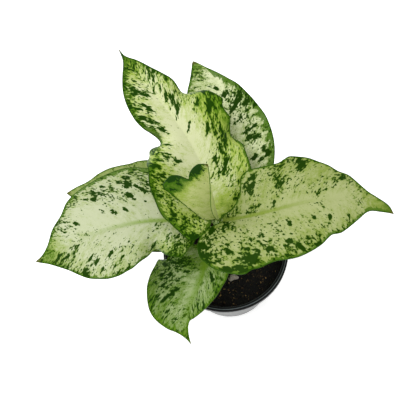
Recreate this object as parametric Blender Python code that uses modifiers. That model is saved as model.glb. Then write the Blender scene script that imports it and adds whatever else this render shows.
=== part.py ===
"""Potted dieffenbachia: seven variegated leaves on a short cane, in soil in a black nursery pot.

The tables hold millimetres and degrees, and MM turns the lengths into Blender's metres.
The origin is the centre of the pot's flat base, and +Z is up.
A leaf's own plane has s along the midrib from the blade's base, and t out to the margin.
"""

import math
import random
from dataclasses import dataclass

import bmesh
import bpy
import numpy as np
from mathutils import Vector, noise

MM = 0.001
GAP = 0.3
SEED = 7

# Pot: a thin tapered cup with a rolled rim
POT_HEIGHT = 96.0
RIM_RADIUS = 60.0
RIM_WIDTH = 4.6
RIM_DEPTH = 9.0
WALL_TOP_RADIUS = 57.0
BASE_RADIUS = 44.0
WALL = 1.4
FLOOR = 1.6
POT_STEPS = 40
DRAIN_COUNT = 6
DRAIN_RADIUS = 3.5
DRAIN_CIRCLE = 30.0

# Soil: fills the pot to a little under the rim
SOIL_TOP = 84.0
SOIL_MOUND = 1.6
SOIL_ROUGHNESS = 1.1
CRUMB_COUNT = 44
CRUMB_SIZES = (1.1, 2.2)
LUMP_AT = (1.8, -26.2)
LUMP_SIZE = (4.4, 2.8, 2.4)

# Cane: stands on the pot's axis in a plain hole
CANE_RADIUS = 6.0
CANE_TIP_RADIUS = 2.6
CANE_FOOT = 60.0
CANE_TOP = 139.0
SCAR_SPACING = 13.0
SCAR_DEPTH = 0.25

# Leaf stalks: sheaths round the cane that narrow to channelled stalks
SHEATH_HEIGHT = 12.0
SHEATH_THICKNESS = 1.5
STALK_RINGS = 15
STALK_SIDES = 12
STALK_CHANNEL = 0.28

# Blades: open sheets thickened downwards, more so under the midrib
BLADE_THICKNESS = 0.8
RIB_THICKNESS = 2.0
BLADE_COLUMNS = 10
RIB_COLUMN = 0.06
VEIN_CURVE = 1.5
VEIN_SETTLE = 0.3
RIB_STEP = 1.0
LOBE_ROOM = 60


@dataclass(frozen=True)
class Leaf:
    """One blade: its base, how its midrib runs, how its sides rise, its margins and its veins' fan."""

    name: str
    base: tuple
    length: float
    heading: tuple
    climb: tuple
    left: tuple
    right: tuple
    rows: int
    twist: tuple = (0, 0, 0)
    slope_left: tuple = (20, 12, 6)
    slope_right: tuple = (20, 12, 6)
    curl_left: tuple = (25, 25, 20)
    curl_right: tuple = (25, 25, 20)
    folds_left: tuple = ()
    folds_right: tuple = ()
    fan: float = 1.6


@dataclass(frozen=True)
class Stalk:
    """One leaf stalk: the side of the cane it grows on, its sheath's foot and half angle, and its seat."""

    azimuth: float
    foot: float
    root_radius: float
    top_radius: float
    clasp: float = 62
    under_blade: float = 2.9
    behind_blade: float = 0.0
    lean_to_rib: float = 0.5


LEAVES = (
    Leaf(
        name="leaf_centre",
        base=(-5.5, 5, 166),
        length=179,
        heading=(75, 117, 101),
        climb=(38, 20, -15),
        rows=32,
        slope_left=(35, 20, 10),
        slope_right=(4, 20, 10),
        curl_left=(10, 10, 10),
        curl_right=(10, 10, 10),
        folds_left=((77, 9, -110), (125, 18, -15)),
        folds_right=((103, 10, -90), (54, 9, -80)),
        left=(
            (-8, 2), (-13.5, 6.5), (-17, 13), (-18.5, 20), (-9, 31), (7, 44), (27, 49), (50, 49),
            (64, 43), (71, 41), (77, 41), (79, 37), (78.5, 32), (77.5, 28), (79, 25), (84, 22.5),
            (94, 27), (102, 28), (110, 27), (118, 25), (126, 22), (133, 18.5), (146, 10), (153, 5.5),
            (161, 2),
        ),
        right=(
            (-6, 3.5), (-4, 7), (0.5, 11), (3, 20), (5, 30), (13, 37), (32, 37.5), (42, 38),
            (50, 41.5), (56, 40), (61, 38), (66, 39), (71, 38), (75.5, 38.5), (78.5, 41.5), (82, 40.5),
            (87, 38), (92, 35.5), (96, 33), (99.5, 30), (103, 26), (109, 22), (117, 19.5), (124, 17),
            (130, 15), (137, 12.5), (145, 10), (153, 7), (160, 3.5), (165, 1.5),
        ),
    ),
    Leaf(
        name="leaf_right",
        base=(1.9, -3.4, 174),
        length=141,
        heading=(-20, -3, -42),
        climb=(25, 5, -28),
        rows=26,
        fan=1.15,
        slope_left=(36, 14, 6),
        slope_right=(25, 10, 6),
        curl_left=(30, 25, 20),
        curl_right=(30, 25, 20),
        left=(
            (-1.5, 3.5), (5, 6.5), (12, 11.5), (17, 18), (19.5, 25), (21, 33), (27, 37), (44, 38),
            (56, 38.3), (61, 40.5), (65, 42), (71, 40.5), (78, 38), (84, 34), (91, 29.8), (97, 24.5),
            (103, 21.5), (110, 14.3), (117, 9), (125, 6.3), (135, 4),
        ),
        right=(
            (-11, 7), (-17, 14), (-18, 23), (-14, 32), (-11, 36), (-4, 41), (2, 45), (10, 48),
            (16, 49.3), (19.5, 48.8), (23, 46), (28, 45), (33, 43), (38, 41.8), (47, 42.3), (53, 42.2),
            (59, 41), (67, 38.5), (75, 35), (80, 31.5), (84, 29.3), (89, 28.8), (93, 28), (102, 23),
            (111, 16), (119, 8), (131, 4),
        ),
    ),
    Leaf(
        name="leaf_left",
        base=(-24, 7, 158),
        length=141,
        heading=(162, 185, 189),
        climb=(15, 0, -20),
        rows=26,
        twist=(10, 10, 0),
        slope_left=(8, 12, 6),
        folds_left=((32, 10, -110),),
        left=(
            (-4.5, 9), (-5, 15), (-3, 20), (0, 24.5), (2.5, 30), (7, 33.5), (13, 34), (21, 32),
            (31, 31), (41, 33), (54, 42), (60, 44), (69, 46.2), (79, 45.6), (87, 42.6), (96, 38),
            (104, 31), (112, 22.8), (121, 15), (129, 8.3), (137, 3),
        ),
        right=(
            (-6, 10), (-6, 20), (2, 34), (16, 47), (34, 57), (50, 62), (66, 60), (80, 56),
            (92, 51), (102, 44), (110, 32), (119, 22), (128, 7), (134, 2),
        ),
    ),
    Leaf(
        name="leaf_back",
        base=(9, 25, 149),
        length=146,
        heading=(66, 86, 131),
        climb=(36, 18, -15),
        rows=24,
        slope_left=(5, 5, 5),
        left=(
            (-8, 10), (-9, 19), (2, 30), (30, 36), (65, 34), (93, 33), (112, 30), (120, 26),
            (126, 21.5), (132, 16.8), (137.5, 11.5), (142, 6.5), (145, 3),
        ),
        right=(
            (-8, 10), (-6, 20), (5, 32), (20, 36.5), (42, 38.3), (53, 37.3), (65, 34), (72, 31.3),
            (78, 28), (85, 24.3), (94, 19.5), (102, 15.5), (108, 11.5), (114, 8), (122, 4), (131, 1),
        ),
    ),
    Leaf(
        name="leaf_front",
        base=(-19.4, -4.3, 128),
        length=94,
        heading=(-79, -128, -64),
        climb=(-5, -22, -40),
        rows=22,
        twist=(10, 15, 5),
        slope_left=(30, 30, 10),
        left=(
            (3, 8), (6, 16), (14, 25), (22, 29), (30, 27), (37, 25), (42, 22.5), (50, 18.5),
            (58, 13), (65, 7.5), (69, 3.5), (74, 2), (80, 1.5), (87, 1),
        ),
        right=(
            (-9, 14), (-8, 26), (0, 36), (17, 44), (28, 48), (39, 50.5), (46, 51.8), (53, 51.5),
            (58, 49.8), (62, 46.8), (66, 43), (70, 38), (73.5, 31), (76.3, 23.5), (78.5, 17), (80, 11),
            (82.5, 6), (87, 2),
        ),
    ),
    Leaf(
        name="leaf_under",
        base=(-17, 17, 139),
        length=132,
        heading=(152, 155, 158),
        climb=(8, 0, -12),
        rows=20,
        slope_right=(8, 8, 5),
        curl_right=(10, 10, 10),
        left=((0, 9), (2, 20), (7, 32), (30, 42), (60, 41), (85, 32), (105, 18), (120, 7)),
        right=(
            (-8, 10), (-9, 22), (2, 36), (30, 46), (48, 46.5), (62, 44), (71, 41), (77, 37.5),
            (89, 33), (96, 30), (101, 26.5), (106, 22), (110, 17), (115, 12.5), (122, 8), (128, 3.5),
        ),
    ),
    Leaf(
        name="leaf_young",
        base=(-3.2, -1.5, 174),
        length=71.8,
        heading=(100, 85, 70),
        climb=(78, 82, 78),
        rows=22,
        slope_left=(0, 0, 0),
        slope_right=(85, 85, 60),
        curl_left=(-25, -25, -20),
        curl_right=(-20, -20, -20),
        left=(
            (6, 9), (23, 17), (38, 24), (50, 31), (55, 34), (60, 31), (63.5, 26.5), (63, 21),
            (60, 17.2), (58, 14.6), (60.8, 14.1), (64.5, 13), (68, 11), (71, 8.2), (72.8, 5.2), (72.9, 2.3),
        ),
        right=((8, 6), (25, 12), (45, 15), (58, 12), (68, 6)),
    ),
)

STALKS = {
    "leaf_front": Stalk(azimuth=215, foot=88, root_radius=2.6, top_radius=1.9, under_blade=2.6),
    "leaf_back": Stalk(azimuth=60, foot=90, root_radius=2.9, top_radius=2.1, under_blade=2.3),
    "leaf_under": Stalk(azimuth=135, foot=101, root_radius=2.8, top_radius=2.0, under_blade=2.1),
    "leaf_right": Stalk(azimuth=-18, foot=112, root_radius=3.0, top_radius=2.2, under_blade=2.1),
    "leaf_left": Stalk(azimuth=172, foot=112, root_radius=3.0, top_radius=2.2, under_blade=2.1),
    "leaf_centre": Stalk(azimuth=100, foot=121, root_radius=2.9, top_radius=2.1, under_blade=2.2),
    "leaf_young": Stalk(
        azimuth=-125, foot=124, root_radius=2.3, top_radius=1.6, clasp=40,
        under_blade=0.4, behind_blade=0.6, lean_to_rib=1.0,
    ),
}

LEAF_COLOURS = {
    "leaf_centre": (0.62, 0.68, 0.32),
    "leaf_right": (0.47, 0.54, 0.29),
    "leaf_left": (0.56, 0.62, 0.40),
    "leaf_back": (0.45, 0.52, 0.36),
    "leaf_front": (0.32, 0.45, 0.20),
    "leaf_under": (0.30, 0.42, 0.18),
    "leaf_young": (0.42, 0.55, 0.22),
}


# Scene and object helpers


def clear_scene():
    for obj in list(bpy.data.objects):
        bpy.data.objects.remove(obj, do_unlink=True)


def new_collection(name):
    collection = bpy.data.collections.new(name)
    bpy.context.scene.collection.children.link(collection)
    return collection


def material(name, colour, roughness, metallic=0.0):
    made = bpy.data.materials.new(name)
    made.use_nodes = True
    shader = made.node_tree.nodes["Principled BSDF"]
    shader.inputs["Base Color"].default_value = (*colour, 1.0)
    shader.inputs["Roughness"].default_value = roughness
    shader.inputs["Metallic"].default_value = metallic
    return made


def link(obj, collection, finish):
    collection.objects.link(obj)
    obj.data.materials.append(finish)
    return obj


def from_bmesh(name, bm):
    mesh = bpy.data.meshes.new(name)
    bm.to_mesh(mesh)
    bm.free()
    return bpy.data.objects.new(name, mesh)


def applied(obj):
    """Replaces the object's mesh with its evaluated one and drops its modifiers."""
    graph = bpy.context.evaluated_depsgraph_get()
    mesh = bpy.data.meshes.new_from_object(obj.evaluated_get(graph))
    obj.modifiers.clear()
    obj.data = mesh
    return obj


def turned(name, profile, steps):
    """A solid of revolution from an open profile of (radius, height) that ends on the axis."""
    mesh = bpy.data.meshes.new(name)
    points = [(radius * MM, 0.0, height * MM) for radius, height in profile]
    mesh.from_pydata(points, [(i, i + 1) for i in range(len(points) - 1)], [])
    obj = bpy.data.objects.new(name, mesh)
    screw = obj.modifiers.new("Turn", "SCREW")
    screw.steps = steps
    screw.render_steps = steps
    screw.use_merge_vertices = True
    screw.merge_threshold = 0.00001
    return obj


def boolean(obj, operation, name, other=None, collection=None):
    cut = obj.modifiers.new(name, "BOOLEAN")
    cut.operation = operation
    if collection is None:
        cut.object = other
        return cut
    cut.operand_type = "COLLECTION"
    cut.collection = collection
    cut.solver = "MANIFOLD"
    return cut


def cylinder(name, radius, low, high, at, collection, sides=16):
    bm = bmesh.new()
    bmesh.ops.create_cone(
        bm, cap_ends=True, segments=sides, radius1=radius * MM, radius2=radius * MM, depth=(high - low) * MM
    )
    bmesh.ops.translate(bm, verts=bm.verts, vec=Vector((at[0], at[1], (low + high) / 2)) * MM)
    obj = from_bmesh(name, bm)
    obj.hide_render = True
    obj.display_type = "WIRE"
    collection.objects.link(obj)
    return obj


# Pot, soil and cane


def wall_radius(height):
    """Outer radius of the tapered wall at a height."""
    share = height / (POT_HEIGHT - RIM_DEPTH)
    return BASE_RADIUS + (WALL_TOP_RADIUS - BASE_RADIUS) * min(share, 1.0)


def rim_profile():
    """The rolled rim, from its inner foot over the top to its outer foot."""
    inner = RIM_RADIUS - RIM_WIDTH
    top = POT_HEIGHT
    return [
        (inner, top - RIM_DEPTH),
        (inner, top - 2.2),
        (inner + 0.5, top - 0.7),
        (inner + 1.6, top),
        (RIM_RADIUS - 1.2, top),
        (RIM_RADIUS - 0.3, top - 0.6),
        (RIM_RADIUS, top - 1.8),
        (RIM_RADIUS - 0.3, top - RIM_DEPTH + 1.0),
        (RIM_RADIUS - 1.0, top - RIM_DEPTH),
        (WALL_TOP_RADIUS, top - RIM_DEPTH),
    ]


def build_pot(parts, cutters):
    profile = [(0.0, FLOOR), (wall_radius(FLOOR) - WALL, FLOOR)]
    profile += rim_profile()
    profile += [(wall_radius(1.0), 1.0), (BASE_RADIUS - 0.8, 0.0), (0.0, 0.0)]
    pot = link(turned("pot", profile, POT_STEPS), parts, material("black_plastic", (0.012, 0.012, 0.013), 0.32))
    for i in range(DRAIN_COUNT):
        turn = math.tau * (i + 0.5) / DRAIN_COUNT
        at = (DRAIN_CIRCLE * math.cos(turn), DRAIN_CIRCLE * math.sin(turn))
        drain = cylinder(f"drain_cutter_{i + 1}", DRAIN_RADIUS, -2.0, FLOOR + 2.0, at, cutters)
        boolean(pot, "DIFFERENCE", f"Drain {i + 1}", drain)
    pot.data.shade_smooth()
    return pot


def soil_height(x, y):
    """Height of the soil's uneven top, highest round the cane."""
    share = math.hypot(x, y) / RIM_RADIUS
    bumps = noise.noise(Vector((x * 0.09, y * 0.09, 3.0))) + 0.5 * noise.noise(Vector((x * 0.23, y * 0.23, 9.0)))
    return SOIL_TOP + SOIL_MOUND * (1.0 - share * share) + SOIL_ROUGHNESS * bumps


def soil_body():
    """The turned fill of the pot, with its top rings lifted to the uneven surface."""
    edge = wall_radius(SOIL_TOP) - WALL - GAP - 0.4
    foot = wall_radius(FLOOR) - WALL - GAP - 0.4
    rings = [edge * share for share in (0.16, 0.3, 0.46, 0.62, 0.78, 0.91)]
    profile = [(0.0, SOIL_TOP)] + [(radius, SOIL_TOP) for radius in rings]
    profile += [(edge, SOIL_TOP), (foot, FLOOR + GAP), (0.0, FLOOR + GAP)]
    body = turned("soil", profile, 36)
    bpy.context.scene.collection.objects.link(body)
    applied(body)
    bpy.context.scene.collection.objects.unlink(body)
    for vertex in body.data.vertices:
        if vertex.co.z > (SOIL_TOP - 1.0) * MM:
            vertex.co.z = soil_height(vertex.co.x / MM, vertex.co.y / MM) * MM
    return body


def crumb(name, at, size, draw, collection):
    """A faceted lump, sunk into the soil by over half its height."""
    bm = bmesh.new()
    bmesh.ops.create_icosphere(bm, subdivisions=1, radius=1.0)
    turn = draw.uniform(0.0, math.tau)
    for vertex in bm.verts:
        x, y, z = (a * b * draw.uniform(0.85, 1.1) for a, b in zip(vertex.co, size))
        vertex.co = Vector((x * math.cos(turn) - y * math.sin(turn), x * math.sin(turn) + y * math.cos(turn), z))
        vertex.co += Vector((at[0], at[1], soil_height(*at) + 0.1 * size[2]))
        vertex.co *= MM
    collection.objects.link(from_bmesh(name, bm))


def build_soil(parts, cutters):
    soil = link(soil_body(), parts, material("potting_soil", (0.018, 0.014, 0.011), 0.92))
    crumbs = bpy.data.collections.new("crumbs")
    bpy.context.scene.collection.children.link(crumbs)
    draw = random.Random(SEED)
    crumb("lump", LUMP_AT, LUMP_SIZE, draw, crumbs)
    for i in range(CRUMB_COUNT):
        turn = i * math.pi * (3.0 - math.sqrt(5.0))
        reach = 12.0 + 40.0 * math.sqrt((i + 0.5) / CRUMB_COUNT)
        size = draw.uniform(*CRUMB_SIZES)
        at = (reach * math.cos(turn) + draw.uniform(-1, 1), reach * math.sin(turn) + draw.uniform(-1, 1))
        if math.hypot(*at) < 51.5:
            crumb(f"crumb_{i}", at, (size * 1.3, size, size * 0.9), draw, crumbs)
    boolean(soil, "UNION", "Crumbs", collection=crumbs)
    applied(soil)
    for obj in list(crumbs.objects):
        bpy.data.objects.remove(obj, do_unlink=True)
    bpy.data.collections.remove(crumbs)
    hole = cylinder("cane_hole_cutter", CANE_RADIUS + GAP, CANE_FOOT - GAP, SOIL_TOP + 10.0, (0, 0), cutters, 24)
    boolean(soil, "DIFFERENCE", "Cane hole", hole)
    return soil


def build_cane(parts):
    """A smooth green cane with faint leaf scars, closed by a blunt tip."""
    profile = [(0.0, CANE_TOP), (CANE_TIP_RADIUS, CANE_TOP - 1.0), (CANE_RADIUS - 1.6, CANE_TOP - 6.0)]
    profile.append((CANE_RADIUS, CANE_TOP - 14.0))
    height = CANE_TOP - 14.0 - SCAR_SPACING
    while height > SOIL_TOP:
        profile += [(CANE_RADIUS, height + 0.8), (CANE_RADIUS - SCAR_DEPTH, height), (CANE_RADIUS, height - 0.8)]
        height -= SCAR_SPACING
    profile += [(CANE_RADIUS, CANE_FOOT + 1.0), (CANE_RADIUS - 1.0, CANE_FOOT), (0.0, CANE_FOOT)]
    cane = link(turned("cane", profile, 20), parts, material("cane_green", (0.12, 0.22, 0.05), 0.5))
    cane.data.shade_smooth()
    return cane


# Leaf blades


def blend3(values, share):
    """A quadratic through three values at 0, one half and 1."""
    first, middle, last = values
    share = np.clip(share, 0.0, 1.0)
    rise = 4 * middle - 3 * first - last
    bend = 2 * first - 4 * middle + 2 * last
    return first + rise * share + bend * share * share


def rib_frames(leaf):
    """Arc lengths along the midrib, with its points, left-hand directions and upper normals."""
    arc = np.arange(-LOBE_ROOM, int(leaf.length / RIB_STEP) + 2) * RIB_STEP
    share = np.clip(arc / leaf.length, 0, 1)
    heading = np.radians(blend3(leaf.heading, share))
    climb = np.radians(blend3(leaf.climb, share))
    twist = np.radians(blend3(leaf.twist, share))[:, None]
    along = np.stack([np.cos(heading) * np.cos(climb), np.sin(heading) * np.cos(climb), np.sin(climb)], -1)
    middle = along[1:] + along[:-1]
    middle /= np.linalg.norm(middle, axis=1)[:, None]
    points = np.concatenate([np.zeros((1, 3)), np.cumsum(middle * RIB_STEP, axis=0)])
    points += np.array(leaf.base) - points[LOBE_ROOM]
    level = np.stack([-np.sin(heading), np.cos(heading), 0 * heading], -1)
    upper = np.cross(along, level)
    left = np.cos(twist) * level + np.sin(twist) * upper
    normal = np.cos(twist) * upper - np.sin(twist) * level
    return arc, points, left, normal, along


def at_arc(arc, values, s):
    return np.array([np.interp(s, arc, values[:, axis]) for axis in range(3)])


def smooth_line(points, samples=12):
    """A centripetal Catmull-Rom curve through the points."""
    knots = np.array(points, float)
    knots = np.vstack([2 * knots[0] - knots[1], knots, 2 * knots[-1] - knots[-2]])
    line = []
    for i in range(1, len(knots) - 2):
        quad = knots[i - 1 : i + 3]
        steps = np.sqrt(np.linalg.norm(np.diff(quad, axis=0), axis=1))
        t0, t1, t2, t3 = np.concatenate([[0.0], np.cumsum(steps)])
        for t in np.linspace(t1, t2, samples, endpoint=False):
            a1 = ((t1 - t) * quad[0] + (t - t0) * quad[1]) / (t1 - t0)
            a2 = ((t2 - t) * quad[1] + (t - t1) * quad[2]) / (t2 - t1)
            a3 = ((t3 - t) * quad[2] + (t - t2) * quad[3]) / (t3 - t2)
            b1 = ((t2 - t) * a1 + (t - t0) * a2) / (t2 - t0)
            b2 = ((t3 - t) * a2 + (t - t1) * a3) / (t3 - t1)
            line.append(((t2 - t) * b1 + (t - t1) * b2) / (t2 - t1))
    line.append(knots[-2])
    return np.array(line)


def margin_line(leaf, side):
    """The margin from the blade's base round the lobe to the tip, with its length shares."""
    middle = leaf.left if side > 0 else leaf.right
    line = smooth_line([(0, 0), *middle, (leaf.length, 0)])
    reach = np.concatenate([[0.0], np.cumsum(np.linalg.norm(np.diff(line, axis=0), axis=1))])
    return reach / reach[-1], line


def section_point(leaf, side, s, t, across):
    """How far out and up a point of the blade lies at s, after the side's slope, curl and folds."""
    share = s / leaf.length
    slope = blend3(leaf.slope_left if side > 0 else leaf.slope_right, share)
    curl = blend3(leaf.curl_left if side > 0 else leaf.curl_right, share)
    folds = leaf.folds_left if side > 0 else leaf.folds_right
    turn = sum(degrees * math.exp(-(((s - at) / width) ** 2)) for at, width, degrees in folds)
    inner = across * (np.arange(10) + 0.5) / 10
    angle = np.radians(slope - curl * inner + turn * inner * inner)
    return t * np.cos(angle).mean(), t * np.sin(angle).mean()


def blade_point(leaf, frames, margins, along, across):
    """The 3D point for a share along the margin and a signed share across (left is positive)."""
    arc, points, left, normal, _ = frames
    side = 1 if across >= 0 else -1
    reach, line = margins[side]
    edge_s = np.interp(along, reach, line[:, 0])
    edge_t = np.interp(along, reach, line[:, 1])
    root = leaf.length * along**leaf.fan
    out = abs(across)
    curve = 1.0 + (VEIN_CURVE - 1.0) * min(1.0, along / VEIN_SETTLE)
    s = root + (edge_s - root) * out**curve
    aside, above = section_point(leaf, side, s, edge_t * out, out)
    place = at_arc(arc, points, s) + side * aside * at_arc(arc, left, s) + above * at_arc(arc, normal, s)
    return Vector(place * MM)


def column_share(grid_y):
    """Spreads the grid's columns so that the first one out lies beside the midrib."""
    return math.copysign(np.interp(abs(grid_y), (0.0, 2.0 / BLADE_COLUMNS, 1.0), (0.0, RIB_COLUMN, 1.0)), grid_y)


def blade_sheet(leaf):
    """The open, triangulated sheet, with the midrib's vertices in a group for its thickness."""
    frames = rib_frames(leaf)
    margins = {side: margin_line(leaf, side) for side in (1, -1)}
    bm = bmesh.new()
    bmesh.ops.create_grid(bm, x_segments=leaf.rows, y_segments=BLADE_COLUMNS, size=1.0)
    weights = bm.verts.layers.deform.verify()
    for vertex in bm.verts:
        along = (vertex.co.x + 1.0) / 2.0
        across = column_share(vertex.co.y) if abs(vertex.co.y) > 1e-5 else 0.0
        thickness = BLADE_THICKNESS
        if across == 0.0:
            thickness += (RIB_THICKNESS - BLADE_THICKNESS) * (1.0 - along)
        vertex[weights][0] = thickness / RIB_THICKNESS
        vertex.co = blade_point(leaf, frames, margins, along, across)
    bmesh.ops.remove_doubles(bm, verts=bm.verts, dist=0.02 * MM)
    bmesh.ops.triangulate(bm, faces=bm.faces)
    bmesh.ops.recalc_face_normals(bm, faces=bm.faces)
    tallest = max(bm.faces, key=lambda face: face.calc_area())
    middle = np.array(tallest.calc_center_median()) / MM
    nearest = np.linalg.norm(frames[1] - middle, axis=1).argmin()
    if tallest.normal.dot(Vector(frames[3][nearest])) < 0:
        bmesh.ops.reverse_faces(bm, faces=bm.faces)
    return bm


def build_blade(leaf, parts):
    blade = from_bmesh(leaf.name, blade_sheet(leaf))
    blade.vertex_groups.new(name="thickness")
    link(blade, parts, material(leaf.name + "_green", LEAF_COLOURS[leaf.name], 0.42))
    solid = blade.modifiers.new("Thickness", "SOLIDIFY")
    solid.thickness = RIB_THICKNESS * MM
    solid.offset = -1.0
    solid.vertex_group = "thickness"
    blade.data.shade_smooth()
    return blade


# Leaf stalks


def bezier(knots, share):
    rest = 1.0 - share
    a, b, c, d = knots
    return rest**3 * a + 3 * rest**2 * share * b + 3 * rest * share**2 * c + share**3 * d


def stalk_path(leaf, stalk):
    """The stalk's control points, from beside the cane to under the blade's base."""
    arc, _, _, normal, along = rib_frames(leaf)
    normal = Vector(at_arc(arc, normal, 0.0))
    rib = Vector(at_arc(arc, along, 0.0))
    turn = math.radians(stalk.azimuth)
    out = Vector((math.cos(turn), math.sin(turn), 0.0))
    start = out * (CANE_RADIUS + GAP + stalk.root_radius) + Vector((0, 0, stalk.foot))
    end = Vector(leaf.base) - normal * stalk.under_blade - rib * stalk.behind_blade
    arrive = (rib * stalk.lean_to_rib + normal * (1.0 - stalk.lean_to_rib)).normalized()
    span = (end - start).length
    return start, start + Vector((0, 0, 0.5 * span)), end - arrive * 0.3 * span, end


def sheath_point(stalk, turn, height):
    """A point of the crescent section that clasps the cane, for an angle round the section."""
    half = math.radians(stalk.clasp)
    folded = turn if turn <= math.pi / 2 else math.pi - turn
    swing = math.radians(stalk.azimuth) + half * folded / (math.pi / 2)
    outer = turn <= math.pi / 2
    radius = CANE_RADIUS + GAP + (SHEATH_THICKNESS * (0.4 + 0.6 * math.cos(folded)) if outer else 0.0)
    if outer:
        radius += 0.05
    return Vector((radius * math.cos(swing), radius * math.sin(swing), height))


def stalk_point(centre, along, level, turn, radius):
    """A point of the round section, channelled on the side that faces the cane."""
    out = level.cross(along).normalized()
    side = along.cross(out).normalized()
    channel = 1.0 - STALK_CHANNEL * math.exp(-(((turn - math.pi) / 0.6) ** 2))
    return centre + (out * math.cos(turn) * channel + side * math.sin(turn)) * radius


def stalk_ring(leaf, stalk, share):
    """One section of the loft from the clasping sheath to the round stalk."""
    knots = stalk_path(leaf, stalk)
    centre = bezier(knots, share)
    ahead = bezier(knots, min(share + 0.01, 1.0)) - bezier(knots, max(share - 0.01, 0.0))
    azimuth = math.radians(stalk.azimuth)
    level = Vector((-math.sin(azimuth), math.cos(azimuth), 0.0))
    radius = stalk.root_radius + (stalk.top_radius - stalk.root_radius) * share
    rise = min(max((centre.z - stalk.foot) / SHEATH_HEIGHT, 0.0), 1.0)
    clasp = 1.0 - rise * rise * (3.0 - 2.0 * rise)
    ring = []
    for i in range(STALK_SIDES):
        turn = -math.pi / 2 + math.tau * i / STALK_SIDES
        clasping = sheath_point(stalk, turn, centre.z)
        free = stalk_point(centre, ahead.normalized(), level, turn, radius)
        ring.append(clasping * clasp + free * (1.0 - clasp))
    return ring


def build_stalk(leaf, stalk, parts):
    bm = bmesh.new()
    rings = []
    for i in range(STALK_RINGS):
        share = (i / (STALK_RINGS - 1)) ** 1.25
        rings.append([bm.verts.new(point * MM) for point in stalk_ring(leaf, stalk, share)])
    for low, high in zip(rings, rings[1:]):
        for i in range(STALK_SIDES):
            j = (i + 1) % STALK_SIDES
            bm.faces.new((low[i], low[j], high[j], high[i]))
    bm.faces.new(rings[0][::-1])
    bm.faces.new(rings[-1])
    bmesh.ops.triangulate(bm, faces=bm.faces)
    bmesh.ops.recalc_face_normals(bm, faces=bm.faces)
    stem = from_bmesh(leaf.name.replace("leaf", "stalk"), bm)
    link(stem, parts, material(stem.name + "_green", (0.30, 0.42, 0.14), 0.45))
    stem.data.shade_smooth()
    return stem


def main():
    clear_scene()
    parts = new_collection("potted_dieffenbachia")
    cutters = new_collection("cutters")
    build_pot(parts, cutters)
    build_soil(parts, cutters)
    build_cane(parts)
    for leaf in LEAVES:
        build_blade(leaf, parts)
        build_stalk(leaf, STALKS[leaf.name], parts)


main()
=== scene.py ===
"""Looks of the potted dieffenbachia: fine blades with their markings, stalks, cane, soil and pot.

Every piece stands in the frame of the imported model, in metres with +Z up. The tables hold
millimetres and degrees, and MM turns the lengths into metres. A blade's own plane has s along the
midrib from the blade's base, and t out to the margin, positive on the leaf's left.
"""

import logging
import math
import random
from collections.abc import Callable
from dataclasses import dataclass, field
from enum import Enum
from typing import NamedTuple

import bmesh
import bpy
import numpy as np
from mathutils import Matrix, Vector, noise

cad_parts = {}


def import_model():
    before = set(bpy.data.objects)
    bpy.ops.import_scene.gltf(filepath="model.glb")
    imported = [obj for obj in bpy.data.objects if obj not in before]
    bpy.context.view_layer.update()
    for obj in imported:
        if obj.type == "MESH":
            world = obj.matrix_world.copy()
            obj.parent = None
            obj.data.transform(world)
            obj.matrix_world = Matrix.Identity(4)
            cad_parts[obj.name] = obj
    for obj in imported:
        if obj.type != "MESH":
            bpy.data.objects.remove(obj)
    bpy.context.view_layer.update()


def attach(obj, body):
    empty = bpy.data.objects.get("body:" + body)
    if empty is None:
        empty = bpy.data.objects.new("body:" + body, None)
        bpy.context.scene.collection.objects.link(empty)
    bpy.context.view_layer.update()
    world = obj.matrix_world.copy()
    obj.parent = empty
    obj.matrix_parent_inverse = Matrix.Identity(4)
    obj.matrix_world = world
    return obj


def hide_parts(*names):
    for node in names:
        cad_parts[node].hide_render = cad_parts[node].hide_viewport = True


LOG = logging.getLogger("dieffenbachia")
MM = 0.001
GAP = 0.3
WHITE = (1.0, 1.0, 1.0, 1.0)

Rgb = tuple[int, int, int]
Pair = tuple[float, float]
Triple = tuple[float, float, float]
Colour = tuple[float, float, float, float]
Line = tuple[Pair, ...]
Knots = tuple[Vector, Vector, Vector, Vector]
Socket = bpy.types.NodeSocket

# Shared fineness of the blades and the stalks
SECTION_STEPS = 10
LOBE_ROOM = 60
VEIN_CURVE = 1.5
VEIN_SETTLE = 0.3
SIDE_COLUMNS = 36
ROW_SPACING = 1.25
VEIN_SPACING = 8.5
SWEEP_FROM = 0.6
NORMAL_STEP = 0.002
PATH_STEP = 0.01

# The leaf noises: their UV map, features per millimetre across and along the side veins, and their detail
LEAF_NOISES = {
    "grain": ("flecks", 1.2, 1.0, 1.0),
    "fine": ("flecks", 0.62, 0.54, 1.0),
    "patchy": ("flecks", 0.24, 0.2, 1.5),
    "clump": ("flecks", 0.08, 0.06, 2.0),
    "streak": ("veins", 0.7, 0.05, 2.0),
    "wash": ("veins", 0.04, 0.025, 1.0),
}
GROUND_NOISES = {"wash": 0.9, "streak": 0.45, "patchy": 1.3, "grain": 1.0}

# The leaf paint: its brightness in the strong light, and how high the noises reach before they mark it
LEAF_TONE = 0.8
FLECK_LEVEL = 0.768
PATCH_LEVEL = 0.737
CROWD_WEIGHT = 0.24
INK_SLOPE = 0.2
HAZE_WIDTH = 0.05


class Side(Enum):
    """The two halves of a blade, by the sign of t."""

    LEFT = 1
    RIGHT = -1


class Field(Enum):
    """What a soft patch on a blade changes."""

    FLECKED = "crowd"
    LUSH = "lush"
    BORDER = "border"
    CLEAR = "clear"


def linear(colour: Rgb, gain: float = 1.0) -> Colour:
    """Turns a screen colour into the linear one that shaders take.

    Args:
        colour: Red, green and blue from 0 to 255.
        gain: Brightness factor for the linear values.

    Returns:
        Linear red, green, blue and an alpha of 1.
    """
    shares = [channel / 255.0 for channel in colour]
    values = [share / 12.92 if share <= 0.04045 else ((share + 0.055) / 1.055) ** 2.4 for share in shares]
    red, green, blue = (min(value * gain, 1.0) for value in values)
    return red, green, blue, 1.0


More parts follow.
